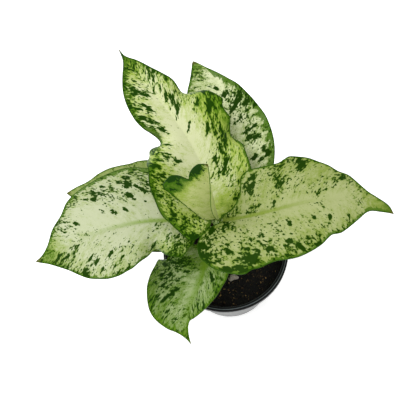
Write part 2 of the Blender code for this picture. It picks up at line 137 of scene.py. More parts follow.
def eased(share: np.ndarray | float) -> np.ndarray | float:
    """Gives a share from 0 to 1 a smooth start and end."""
    return share * share * (3.0 - 2.0 * share)


def bell(value: np.ndarray | float, width: float) -> np.ndarray | float:
    """Falls from 1 at zero in the shape of a bell."""
    return np.exp(-((value / width) ** 2))


def blend3(values: Triple, share: np.ndarray) -> np.ndarray:
    """Runs a quadratic through three values.

    Args:
        values: The values at shares 0, one half and 1.
        share: Where to read it; clipped to 0 to 1.

    Returns:
        The blended values.
    """
    first, middle, last = values
    share = np.clip(share, 0.0, 1.0)
    rise, bend = 4 * middle - 3 * first - last, 2 * first - 4 * middle + 2 * last
    return first + rise * share + bend * share * share


def between(at: float, low: float, high: float, first: np.ndarray, last: np.ndarray) -> np.ndarray:
    """Reads the straight run from the first point at low to the last at high."""
    return ((high - at) * first + (at - low) * last) / (high - low)


def smooth_line(points: Line, samples: int = 12) -> np.ndarray:
    """Runs a centripetal Catmull-Rom curve through points.

    Args:
        points: The points of the line.
        samples: Steps between each two points.

    Returns:
        An array of points on the curve.
    """
    knots = np.array(points, float)
    knots = np.vstack([2 * knots[0] - knots[1], knots, 2 * knots[-1] - knots[-2]])
    line = []
    for i in range(1, len(knots) - 2):
        quad = knots[i - 1 : i + 3]
        steps = np.sqrt(np.linalg.norm(np.diff(quad, axis=0), axis=1))
        t = np.concatenate([[0.0], np.cumsum(steps)])
        for at in np.linspace(t[1], t[2], samples, endpoint=False):
            a, b, c = (between(at, t[k], t[k + 1], quad[k], quad[k + 1]) for k in range(3))
            line.append(between(at, t[1], t[2], between(at, t[0], t[2], a, b), between(at, t[1], t[3], b, c)))
    line.append(knots[-2])
    return np.array(line)


def distance_to_line(points: np.ndarray, line: np.ndarray) -> np.ndarray:
    """Measures how far points lie from a line of short segments.

    Args:
        points: An array of 2D points.
        line: The line's corners in order.

    Returns:
        The distance of each point.
    """
    nearest = np.full(len(points), np.inf)
    for start, end in zip(line[:-1], line[1:]):
        run = end - start
        share = np.clip(((points - start) @ run) / max(run @ run, 1e-12), 0.0, 1.0)
        gap = np.linalg.norm(points - start - share[:, None] * run, axis=1)
        nearest = np.minimum(nearest, gap)
    return nearest


class Graph:
    """A material's node tree, with a short method for each kind of node that the finishes use."""

    def __init__(self, name: str, roughness: float, specular: float) -> None:
        """Starts a material with one shader.

        Args:
            name: The material's name.
            roughness: The shader's own roughness.
            specular: The shader's own specular level.
        """
        self.material = bpy.data.materials.new(name)
        self.material.use_nodes = True
        self.tree = self.material.node_tree
        self.shader = self.tree.nodes["Principled BSDF"]
        self.shade("Roughness", roughness)
        self.shade("Specular IOR Level", specular)

    def feed(self, socket: Socket, value: object) -> None:
        """Links or sets an input.

        Args:
            socket: The input to feed.
            value: An output socket, a number, or a tuple of numbers.
        """
        if isinstance(value, Socket):
            self.tree.links.new(value, socket)
        else:
            socket.default_value = value

    def shade(self, name: str, value: object) -> None:
        """Feeds one of the shader's inputs."""
        self.feed(self.shader.inputs[name], value)

    def node(self, kind: str, output: str | int, inputs: dict[str | int, object], **settings: str) -> Socket:
        """Adds a node.

        Args:
            kind: Blender's name of its kind, without the prefix.
            output: The output to read.
            inputs: The sockets or values for its inputs.
            settings: Its own settings.

        Returns:
            The output's socket.
        """
        node = self.tree.nodes.new("ShaderNode" + kind)
        for name, setting in settings.items():
            setattr(node, name, setting)
        for name, value in inputs.items():
            self.feed(node.inputs[name], value)
        return node.outputs[output]

    def math(self, operation: str, *values: object) -> Socket:
        """Adds a Math node on one to three values or sockets."""
        return self.node("Math", 0, dict(enumerate(values)), operation=operation)

    def plus(self, first: object, second: object) -> Socket:
        """Adds two values or sockets."""
        return self.math("ADD", first, second)

    def times(self, first: object, second: object) -> Socket:
        """Multiplies two values or sockets."""
        return self.math("MULTIPLY", first, second)

    def ramp(self, value: object, slope: float, start: object) -> Socket:
        """Multiplies a value by a slope and adds a start."""
        return self.math("MULTIPLY_ADD", value, slope, start)

    def attribute(self, name: str) -> Socket:
        """Reads a number that the mesh carries at its points."""
        return self.node("Attribute", "Fac", {}, attribute_name=name)

    def uv(self, name: str) -> Socket:
        """Reads the piece's own UV map."""
        return self.node("UVMap", "UV", {}, uv_map=name)

    def place(self) -> Socket:
        """Reads Object coordinates."""
        return self.node("TexCoord", "Object", {})

    def stretched(self, vector: Socket, scale: Triple, shift: Triple = (0.0, 0.0, 0.0)) -> Socket:
        """Scales a pattern's coordinates along the three axes, then shifts them."""
        return self.node("Mapping", "Vector", {"Vector": vector, "Scale": scale, "Location": shift})

    def noise(self, vector: Socket, scale: float, detail: float = 2.0, rough: float = 0.5) -> Socket:
        """Adds a noise round one half, by its scale, its octaves and how strong the finer ones are."""
        inputs = {"Vector": vector, "Scale": scale, "Detail": detail, "Roughness": rough}
        return self.node("TexNoise", "Fac", inputs)

    def step(self, value: object, low: object, high: object) -> Socket:
        """Rises smoothly from 0 at the low value to 1 at the high one."""
        inputs = {"Value": value, "From Min": low, "From Max": high}
        return self.node("MapRange", "Result", inputs, interpolation_type="SMOOTHSTEP")

    def fall(self, value: object, low: object, high: object) -> Socket:
        """Falls smoothly from 1 at the low value to 0 at the high one."""
        return self.math("SUBTRACT", 1.0, self.step(value, low, high))

    def mix(self, share: object, first: object, second: object) -> Socket:
        """Blends two colours, by the share of the second."""
        return self.node("Mix", 2, {0: share, 6: first, 7: second}, data_type="RGBA")

    def bump(self, height: Socket, depth_mm: float, strength: float) -> None:
        """Adds fine relief, by its depth in millimetres and how strongly it shows."""
        inputs = {"Strength": strength, "Distance": depth_mm * MM, "Height": height}
        self.shade("Normal", self.node("Bump", "Normal", inputs))


def piece_from(name: str, bm: bmesh.types.BMesh) -> bpy.types.Object:
    """Makes a linked object of a bmesh and frees it.

    Args:
        name: The piece's name.
        bm: The finished bmesh.

    Returns:
        The new object.
    """
    mesh = bpy.data.meshes.new(name)
    bm.to_mesh(mesh)
    bm.free()
    piece = bpy.data.objects.new(name, mesh)
    bpy.context.scene.collection.objects.link(piece)
    return piece


def apply_modifiers(piece: bpy.types.Object) -> None:
    """Keeps the piece's evaluated mesh and drops its modifiers.

    Args:
        piece: The piece with its live modifiers.
    """
    graph = bpy.context.evaluated_depsgraph_get()
    mesh = bpy.data.meshes.new_from_object(piece.evaluated_get(graph))
    piece.modifiers.clear()
    piece.data = mesh


def dress(piece: bpy.types.Object, sharp_degrees: float, materials: list[bpy.types.Material]) -> None:
    """Shades a piece smooth and gives it its materials.

    Args:
        piece: The built piece.
        sharp_degrees: The angle from which an edge stays sharp.
        materials: Its materials in the order of their slots.
    """
    piece.data.shade_smooth()
    piece.data.set_sharp_from_angle(angle=math.radians(sharp_degrees))
    piece.data.materials.clear()
    for material in materials:
        piece.data.materials.append(material)


def stand_for(piece: bpy.types.Object, node: str) -> bpy.types.Object:
    """Lets a piece take a CAD node's place.

    Args:
        piece: The finished piece.
        node: The name of the node that it replaces.

    Returns:
        The piece itself.
    """
    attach(piece, "root")
    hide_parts(node)
    return piece


def moved(corners: Line, radius: float, height: float) -> list[Pair]:
    """Gives a profile's corners, by radius and height, from an origin of their own."""
    return [(radius + aside, height + above) for aside, above in corners]


def turned(profile: list[Pair], steps: int) -> bmesh.types.BMesh:
    """Spins a profile round the pot's axis.

    Args:
        profile: Radius and height of each corner, in millimetres.
        steps: Steps of the full turn.

    Returns:
        The closed bmesh, with its normals outwards.
    """
    bm = bmesh.new()
    corners = [bm.verts.new((radius * MM, 0.0, height * MM)) for radius, height in profile]
    edges = [bm.edges.new(pair) for pair in zip(corners, corners[1:])]
    around = {"axis": (0.0, 0.0, 1.0), "cent": (0.0, 0.0, 0.0), "angle": math.tau}
    bmesh.ops.spin(bm, geom=corners + edges, steps=steps, use_merge=True, **around)
    bmesh.ops.remove_doubles(bm, verts=bm.verts, dist=0.002 * MM)
    bmesh.ops.recalc_face_normals(bm, faces=bm.faces)
    return bm


@dataclass(frozen=True)
class LeafFinish:
    """One leaf's colours, its border and flecks, and its soft patches and blotches.

    A patch is its place s and t, its reach along and out, and its strength. A blotch is its place, its
    length along the side veins and its width. Lengths are in millimetres.
    """

    heart: Rgb
    fresh: Rgb
    green: Rgb
    dark: Rgb
    edge: Rgb
    rib: Rgb
    seed: float
    tip: Rgb = (96, 92, 40)
    sheen: Colour = (0.7, 1.0, 0.3, 1.0)
    crowd: float = 0.35
    edge_crowd: float = 0.5
    edge_reach: float = 9.0
    lush: float = 0.2
    edge_lush: float = 0.6
    border: Pair = (2.4, 2.4)
    line: float = 0.9
    rib_width: float = 1.6
    rib_end: float = 0.6
    sweep: float = 0.7
    streaky: float = 0.35
    slant: float = 0.5
    patches: dict[Field, tuple[tuple[float, ...], ...]] = field(default_factory=dict)
    blotches: tuple[tuple[float, ...], ...] = ()


class LeafPaint(Graph):
    """A leaf's material, painted coat over coat on its noises."""

    def __init__(self, name: str, finish: LeafFinish) -> None:
        """Starts the material with its noises and a first coat.

        Args:
            name: The material's name.
            finish: The leaf's finish.
        """
        super().__init__(name, 0.4, 0.06)
        self.shade("Specular Tint", finish.sheen)
        self.finish = finish
        self.noises: dict[str, Socket] = {}
        shift = (finish.seed, finish.seed * 1.7, finish.seed * 0.6)
        for key, (layer, across, ahead, detail) in LEAF_NOISES.items():
            places = self.stretched(self.uv(layer), (across, ahead, 1.0), shift)
            self.noises[key] = self.noise(places, 1.0, detail, 0.55)
        self.coat: Socket | Colour = linear(finish.heart, LEAF_TONE)

    def painted(self) -> bpy.types.Material:
        """Lays all the coats, and adds the uneven sheen and the finest relief.

        Returns:
            The material.
        """
        for lay_coat in (self._ground, self._border, self._flecks, self._line, self._rib):
            lay_coat()
        self.shade("Base Color", self.coat)
        self.shade("Roughness", self.ramp(self.noises["clump"], 0.22, 0.3))
        self.bump(self.ramp(self.noises["streak"], 0.6, self.times(self.noises["fine"], 0.4)), 0.3, 0.3)
        return self.material

    def _lay(self, share: Socket, colour: Rgb) -> None:
        """Lays a colour over the coat, as far as the share says."""
        self.coat = self.mix(share, self.coat, linear(colour, LEAF_TONE))

    def _lay_mixed(self, share: Socket, inner: object, first: Rgb, second: Rgb) -> None:
        """Lays a mix of two colours over the coat, with the inner share of the second."""
        mixed = self.mix(inner, linear(first, LEAF_TONE), linear(second, LEAF_TONE))
        self.coat = self.mix(share, self.coat, mixed)

    def _ground(self) -> None:
        """Lays the pale ground, which turns yellow green, then green, where the leaf is lush."""
        share = self.attribute("lush")
        for key, weight in GROUND_NOISES.items():
            share = self.plus(share, self.ramp(self.noises[key], weight, -weight / 2))
        self._lay(self.step(share, -0.15, 0.95), self.finish.fresh)
        self._lay(self.times(self.step(share, 0.8, 1.6), 0.85), self.finish.green)

    def _border(self) -> None:
        """Lays the mottled green border."""
        fine = self.noises["fine"]
        uneven = self.ramp(self.noises["patchy"], 2.6, self.ramp(fine, 2.4, -1.2))
        reach = self.times(self.attribute("border"), self.math("MAXIMUM", uneven, 0.3))
        band = self.fall(self.attribute("edge_mm"), self.times(reach, 0.75), reach)
        share = self.times(band, 0.85)
        self._lay_mixed(share, self.step(fine, 0.45, 0.6), self.finish.edge, self.finish.green)

    def _flecks(self) -> None:
        """Lays the green haze, the dark flecks and the large blotches."""
        fine = self.noises["fine"]
        gather = self.ramp(self.noises["clump"], 0.5, -0.25)
        gather = self.ramp(self.attribute("crowd"), CROWD_WEIGHT, gather)
        mixed = self.ramp(fine, 0.45, self.times(self.noises["patchy"], 0.55))
        small = self.plus(self.plus(fine, gather), -FLECK_LEVEL)
        large = self.plus(self.plus(mixed, gather), -PATCH_LEVEL)
        ink = self.plus(self.ramp(self.attribute("ink"), INK_SLOPE, -0.5), mixed)
        level = self.math("MAXIMUM", self.math("MAXIMUM", small, large), ink)
        haze_at = self.ramp(self.attribute("lush"), -0.06, -0.045)
        haze = self.step(level, haze_at, self.plus(haze_at, HAZE_WIDTH))
        self._lay(self.times(haze, 0.8), self.finish.green)
        self._lay(self.times(self.step(level, -0.005, 0.02), 0.97), self.finish.dark)

    def _line(self) -> None:
        """Draws the thin dark line along the margin, where the leaf has a border."""
        line = self.fall(self.attribute("edge_mm"), self.finish.line * 0.5, self.finish.line * 1.4)
        line = self.times(line, self.step(self.attribute("border"), 0.2, 0.9))
        self._lay_mixed(self.times(line, 0.92), 0.4, self.finish.dark, self.finish.edge)

    def _rib(self) -> None:
        """Lays the midrib, which fades towards the tip, and the brownish tip itself."""
        along = self.attribute("along")
        width = self.ramp(self.noises["streak"], 1.4, self.finish.rib_width - 0.7)
        near = self.fall(self.attribute("rib_mm"), 0.3, width)
        fade = self.fall(along, self.finish.rib_end * 0.3, self.finish.rib_end)
        self._lay(self.times(self.times(near, fade), 0.9), self.finish.rib)
        self._lay(self.times(self.step(along, 0.965, 0.985), 0.7), self.finish.tip)


@dataclass(frozen=True)
class BladeForm:
    """One blade: its base, how its midrib runs, how its sides rise, its margins and its veins' fan."""

    name: str
    base: Triple
    length: float
    heading: Triple
    climb: Triple
    left: Line
    right: Line
    twist: Triple = (0, 0, 0)
    slope_left: Triple = (20, 12, 6)
    slope_right: Triple = (20, 12, 6)
    curl_left: Triple = (25, 25, 20)
    curl_right: Triple = (25, 25, 20)
    folds_left: tuple[Triple, ...] = ()
    folds_right: tuple[Triple, ...] = ()
    fan: float = 1.6

    def rib(self) -> dict[str, np.ndarray]:
        """Runs the midrib through space.

        Returns:
            Arc lengths, points, left-hand directions, upper normals and forward directions.
        """
        arc = np.arange(-LOBE_ROOM, int(self.length) + 2, dtype=float)
        share = np.clip(arc / self.length, 0, 1)
        heading, climb, twist = (np.radians(blend3(v, share)) for v in (self.heading, self.climb, self.twist))
        twist = twist[:, None]
        forward = [np.cos(heading) * np.cos(climb), np.sin(heading) * np.cos(climb), np.sin(climb)]
        along = np.stack(forward, -1)
        middle = along[1:] + along[:-1]
        middle /= np.linalg.norm(middle, axis=1)[:, None]
        points = np.concatenate([np.zeros((1, 3)), np.cumsum(middle, axis=0)])
        points += np.array(self.base) - points[LOBE_ROOM]
        level = np.stack([-np.sin(heading), np.cos(heading), 0 * heading], -1)
        upper = np.cross(along, level)
        left = np.cos(twist) * level + np.sin(twist) * upper
        normal = np.cos(twist) * upper - np.sin(twist) * level
        return {"arc": arc, "points": points, "left": left, "normal": normal, "along": along}

    def rib_at(self, what: str, s: np.ndarray | float) -> np.ndarray:
        """Reads one of the midrib's named rows of three numbers at arc lengths in millimetres."""
        rib = self.rib()
        return np.stack([np.interp(s, rib["arc"], rib[what][:, axis]) for axis in range(3)], -1)

    def margin(self, side: Side) -> tuple[np.ndarray, np.ndarray]:
        """Runs one margin from the blade's base round the lobe to the tip.

        Args:
            side: The half of the blade.

        Returns:
            Shares of its length, and its points in the blade's plane.
        """
        middle = self.left if side is Side.LEFT else self.right
        line = smooth_line(((0, 0), *middle, (self.length, 0)))
        reach = np.concatenate([[0.0], np.cumsum(np.linalg.norm(np.diff(line, axis=0), axis=1))])
        return reach / reach[-1], line

    def margin_length(self) -> float:
        """Gives the mean length of the two margins."""
        lengths = [np.linalg.norm(np.diff(self.margin(side)[1], axis=0), axis=1).sum() for side in Side]
        return float(sum(lengths) / 2)

    def vein(self, side: Side, along: np.ndarray) -> tuple[np.ndarray, np.ndarray, np.ndarray]:
        """Finds the side veins that end at shares along a margin.

        Args:
            side: The half of the blade.
            along: Shares along the margin.

        Returns:
            The s where each starts on the midrib, and the s and t where it ends.
        """
        reach, line = self.margin(side)
        root = self.length * along**self.fan
        return root, np.interp(along, reach, line[:, 0]), np.interp(along, reach, line[:, 1])

    def flat(self, side: Side, along: np.ndarray, out: np.ndarray) -> tuple[np.ndarray, np.ndarray]:
        """Places points in the blade's plane.

        Args:
            side: The half of the blade.
            along: Shares along the margin.
            out: Shares from the midrib to the margin, along the side veins.

        Returns:
            The points' s and t, with t counted outwards.
        """
        root, end_s, end_t = self.vein(side, along)
        curve = 1.0 + (VEIN_CURVE - 1.0) * np.minimum(1.0, along / VEIN_SETTLE)
        return root + (end_s - root) * out**curve, end_t * out

    def raised(self, side: Side, along: np.ndarray, out: np.ndarray) -> np.ndarray:
        """Places points of one half in space.

        Args:
            side: The half of the blade.
            along: Shares along the margin.
            out: Shares from the midrib to the margin.

        Returns:
            Points in millimetres.
        """
        s, t = self.flat(side, along, out)
        slopes, curls, folds = self.slope_right, self.curl_right, self.folds_right
        if side is Side.LEFT:
            slopes, curls, folds = self.slope_left, self.curl_left, self.folds_left
        slope, curl = blend3(slopes, s / self.length), blend3(curls, s / self.length)
        turn, aside, above = np.zeros_like(s), np.zeros_like(s), np.zeros_like(s)
        for at, width, degrees in folds:
            turn += degrees * bell(s - at, width)
        for k in range(SECTION_STEPS):
            inner = out * (k + 0.5) / SECTION_STEPS
            angle = np.radians(slope - curl * inner + turn * inner * inner)
            aside += t * np.cos(angle) / SECTION_STEPS
            above += t * np.sin(angle) / SECTION_STEPS
        place = self.rib_at("points", s)
        place += (side.value * aside)[:, None] * self.rib_at("left", s)
        return place + above[:, None] * self.rib_at("normal", s)


class Spots(NamedTuple):
    """Points on a blade: shares along the margin and out from the midrib, and which lie on the left."""

    along: np.ndarray
    out: np.ndarray
    left: np.ndarray

    def halves(self) -> tuple[tuple[Side, np.ndarray], tuple[Side, np.ndarray]]:
        """Gives each half with the mask of its points."""
        return (Side.LEFT, self.left), (Side.RIGHT, ~self.left)


@dataclass
class LeafBlade:
    """One finished blade: a fine sheet with sunken side veins, thickened downwards, and its markings."""

    form: BladeForm
    finish: LeafFinish
    edge_thickness: float = 0.6
    rib_thickness: float = 2.0
    rib_reach: float = 1.7
    quilt: float = 0.14
    groove: float = 0.08
    wave: float = 0.35
    rib_sink: float = 0.35
    sharp_degrees: float = 60.0

    def build(self) -> bpy.types.Object:
        """Builds and dresses the blade in place of its CAD node.

        Returns:
            The finished piece.
        """
        name = self.form.name
        piece = self._sheet(name.replace("leaf", "blade"))
        self._thicken(piece)
        dress(piece, self.sharp_degrees, [LeafPaint(name + "_upper", self.finish).painted()])
        return stand_for(piece, name)

    def _sheet(self, name: str) -> bpy.types.Object:
        """Makes the open sheet from a grid.

        Args:
            name: The piece's name.

        Returns:
            The sheet with its UV maps and its point values.
        """
        rows = int(self.form.margin_length() / ROW_SPACING)
        bm = bmesh.new()
        bmesh.ops.create_grid(bm, x_segments=rows, y_segments=2 * SIDE_COLUMNS, size=1.0)
        piece = piece_from(name, bm)
        mesh = piece.data
        grid = np.empty(len(mesh.vertices) * 3)
        mesh.vertices.foreach_get("co", grid)
        reach = np.clip(np.abs(grid[1::3]), 0.0, 1.0)
        reach[reach < 1e-5] = 0.0
        along = np.clip((grid[0::3] + 1.0) / 2.0, 0.0, 1.0)
        spots = Spots(along, reach * (0.7 + 0.3 * reach), grid[1::3] >= -1e-6)
        values = self._values(spots)
        place = self._placed(spots) + self._relief(values)[:, None] * self._normals(spots)
        mesh.vertices.foreach_set("co", (place * MM).ravel())
        self._store(mesh, values)
        self._close(piece)
        return piece

    def _placed(self, spots: Spots) -> np.ndarray:
        """Places points of both halves in space.

        Args:
            spots: The points.

        Returns:
            Their places in millimetres.
        """
        place = np.empty((len(spots.along), 3))
        for side, mask in spots.halves():
            place[mask] = self.form.raised(side, spots.along[mask], spots.out[mask])
        return place

    def _normals(self, spots: Spots) -> np.ndarray:
        """Works out the sheet's upper normals from small steps along and out.

        Args:
            spots: The points.

        Returns:
            Unit normals.
        """
        ahead = self._placed(spots._replace(along=np.minimum(spots.along + NORMAL_STEP, 1.0)))
        behind = self._placed(spots._replace(along=np.maximum(spots.along - NORMAL_STEP, 0.0)))
        outer = self._placed(spots._replace(out=np.minimum(spots.out + NORMAL_STEP, 1.0)))
        inner = self._placed(spots._replace(out=np.maximum(spots.out - NORMAL_STEP, 0.0)))
        normal = np.cross(ahead - behind, outer - inner)
        normal[~spots.left] *= -1.0
        size = np.linalg.norm(normal, axis=1)
        size[size < 1e-9] = 1.0
        return normal / size[:, None]

    def _values(self, spots: Spots) -> dict[str, np.ndarray]:
        """Works out what the finish reads at each point.

        Args:
            spots: The points.

        Returns:
            Named values, with the UV maps' u and v in millimetres.
        """
        form, finish, along, out = self.form, self.finish, spots.along, spots.out
        s, t, edge, border, vein = np.empty((5, len(along)))
        for side, mask in spots.halves():
            s[mask], t[mask] = form.flat(side, along[mask], out[mask])
            edge[mask] = distance_to_line(np.stack([s[mask], t[mask]], -1), form.margin(side)[1])
            border[mask] = finish.border[0 if side is Side.LEFT else 1]
            root, end_s, end_t = form.vein(side, along[mask])
            vein[mask] = np.hypot(end_s - root, end_t)
        sign = np.where(spots.left, 1.0, -1.0)
        swept = eased(np.clip(along / SWEEP_FROM, 0.0, 1.0))
        u = along * form.margin_length() - finish.sweep * swept * out * vein
        v = out * vein * sign
        plain = 1.0 - finish.streaky
        values = {"s": s, "t": t * sign, "u": u, "v": v, "out": out, "along": along, "rib_mm": t}
        values["fleck_u"] = finish.streaky * u + plain * (s - finish.slant * t)
        values["fleck_v"] = finish.streaky * v + plain * t * sign
        values |= {"edge_mm": edge, "border": border}
        return values | self._fields(values)

    def _fields(self, values: dict[str, np.ndarray]) -> dict[str, np.ndarray]:
        """Lays out how crowded the flecks are, how green the ground is, the border and the blotches.

        Args:
            values: The points' places.

        Returns:
            The fields crowd, lush, border and ink.
        """
        finish = self.finish
        near_edge = np.exp(-values["edge_mm"] / finish.edge_reach)
        fields = {
            Field.FLECKED: finish.crowd + finish.edge_crowd * near_edge,
            Field.LUSH: finish.lush + finish.edge_lush * near_edge,
            Field.BORDER: values["border"].copy(),
            Field.CLEAR: np.zeros_like(near_edge),
        }
        for what, patches in finish.patches.items():
            for s, t, reach_s, reach_t, strength in patches:
                across = ((values["s"] - s) / reach_s) ** 2 + ((values["t"] - t) / reach_t) ** 2
                fields[what] += strength * np.exp(-across)
        keep = np.clip(1.0 - fields.pop(Field.CLEAR), 0.0, 1.0)
        fields[Field.FLECKED] *= keep
        fields[Field.LUSH] *= keep
        ink = np.full(len(keep), -3.0)
        fleck_u, fleck_v = values["fleck_u"], values["fleck_v"]
        for s, t, length, width in finish.blotches:
            at = np.hypot(values["s"] - s, values["t"] - t).argmin()
            across = np.hypot((fleck_u - fleck_u[at]) / (width / 2), (fleck_v - fleck_v[at]) / (length / 2))
            ink = np.maximum(ink, 1.0 - across)
        return {what.value: level for what, level in fields.items()} | {"ink": ink}

    def _relief(self, values: dict[str, np.ndarray]) -> np.ndarray:
        """Shapes the fine relief: sunken side veins, quilting between them and a gentle wave.

        Args:
            values: The points' places.

        Returns:
            Heights above the plain sheet, in millimetres.
        """
        seed, u, rib = self.finish.seed, values["u"], values["rib_mm"]
        phase = np.abs(np.sin(math.pi * (u / VEIN_SPACING + 0.35 * np.sin(u / 23.0 + seed))))
        inside = np.clip(values["edge_mm"] / 6.0, 0.0, 1.0) * np.clip(rib / 4.0, 0.0, 1.0)
        quilting = self.quilt * (phase**0.8 - 0.5) * inside
        grooves = -self.groove * bell(phase, 0.16) * inside
        swell = np.sin(u / 9.5 + seed) * np.sin(values["v"] / 13.0 + 1.7 * seed)
        waving = self.wave * swell * values["out"] ** 2 * np.clip(rib / 12.0, 0.0, 1.0)
        midrib = -self.rib_sink * bell(rib, 1.5) * (1.0 - values["along"])
        return quilting + grooves + waving + midrib

    def _store(self, mesh: bpy.types.Mesh, values: dict[str, np.ndarray]) -> None:
        """Stores the UV maps and the point values on the mesh.

        Args:
            mesh: The sheet's mesh, still the whole grid.
            values: The points' values.
        """
        corners = np.empty(len(mesh.loops), dtype=np.int32)
        mesh.loops.foreach_get("vertex_index", corners)
        for name, u, v in (("veins", "u", "v"), ("flecks", "fleck_u", "fleck_v")):
            layer = mesh.uv_layers.new(name=name)
            places = np.stack([values[u][corners], values[v][corners]], -1)
            layer.data.foreach_set("uv", places.astype(np.float32).ravel())
        for name in ("edge_mm", "border", "rib_mm", "along", "crowd", "lush", "ink"):
            attribute = mesh.attributes.new(name, "FLOAT", "POINT")
            attribute.data.foreach_set("value", values[name].astype(np.float32))

    def _close(self, piece: bpy.types.Object) -> None:
        """Merges the points that meet at the base and the tip, and turns the faces upwards.

        Args:
            piece: The open sheet.
        """
        bm = bmesh.new()
        bm.from_mesh(piece.data)
        bmesh.ops.remove_doubles(bm, verts=bm.verts, dist=0.02 * MM)
        bmesh.ops.recalc_face_normals(bm, faces=bm.faces)
        widest = max(bm.faces, key=lambda face: face.calc_area())
        rib = self.form.rib()
        away = rib["points"] - np.array(widest.calc_center_median()) / MM
        if widest.normal.dot(Vector(rib["normal"][np.linalg.norm(away, axis=1).argmin()])) < 0:
            bmesh.ops.reverse_faces(bm, faces=bm.faces)
        bm.to_mesh(piece.data)
        bm.free()

    def _thicken(self, piece: bpy.types.Object) -> None:
        """Gives the sheet its thickness, downwards, with a raised rib under the midrib.

        Args:
            piece: The open sheet.
        """
        mesh = piece.data
        group = piece.vertex_groups.new(name="thickness")
        rib, along = np.empty((2, len(mesh.vertices)), dtype=np.float32)
        mesh.attributes["rib_mm"].data.foreach_get("value", rib)
        mesh.attributes["along"].data.foreach_get("value", along)
        extra = (self.rib_thickness - self.edge_thickness) * bell(rib, self.rib_reach) * (1.0 - along)
        for index, weight in enumerate((self.edge_thickness + extra) / self.rib_thickness):
            group.add([index], float(weight), "REPLACE")
        solid = piece.modifiers.new("Thickness", "SOLIDIFY")
        solid.thickness = self.rib_thickness * MM
        solid.offset = -1.0
        solid.vertex_group = group.name
        apply_modifiers(piece)


@dataclass(frozen=True)
class StalkForm:
    """One leaf stalk: the side of the cane it grows on, its sheath's foot and half angle, and its seat."""

    azimuth: float
    foot: float
    root_radius: float
    top_radius: float
    clasp: float = 62
    under_blade: float = 2.9
    behind_blade: float = 0.0
    lean_to_rib: float = 0.5


@dataclass(frozen=True)
class StalkFinish:
    """The stalks' green, with pale marbling along them."""

    green: Rgb = (112, 142, 66)
    pale: Rgb = (176, 190, 128)
    dark: Rgb = (62, 98, 36)

    def material(self, name: str) -> bpy.types.Material:
        """Makes the stalk's finish.

        Args:
            name: The material's name.

        Returns:
            The material.
        """
        graph = Graph(name, 0.42, 0.45)
        place = graph.place()
        marble = graph.noise(graph.stretched(place, (420.0, 420.0, 90.0)), 1.0, 3.0, 0.6)
        broad = graph.noise(graph.stretched(place, (60.0, 60.0, 25.0)), 1.0)
        fine = graph.noise(graph.stretched(place, (1400.0, 1400.0, 240.0)), 1.0)
        colour = graph.mix(graph.step(broad, 0.38, 0.62), linear(self.green), linear(self.pale))
        colour = graph.mix(graph.step(marble, 0.52, 0.62), colour, linear(self.green))
        colour = graph.mix(graph.step(marble, 0.62, 0.68), colour, linear(self.dark))
        graph.shade("Base Color", colour)
        graph.shade("Roughness", graph.ramp(broad, 0.2, 0.34))
        graph.bump(fine, 0.25, 0.4)
        return graph.material


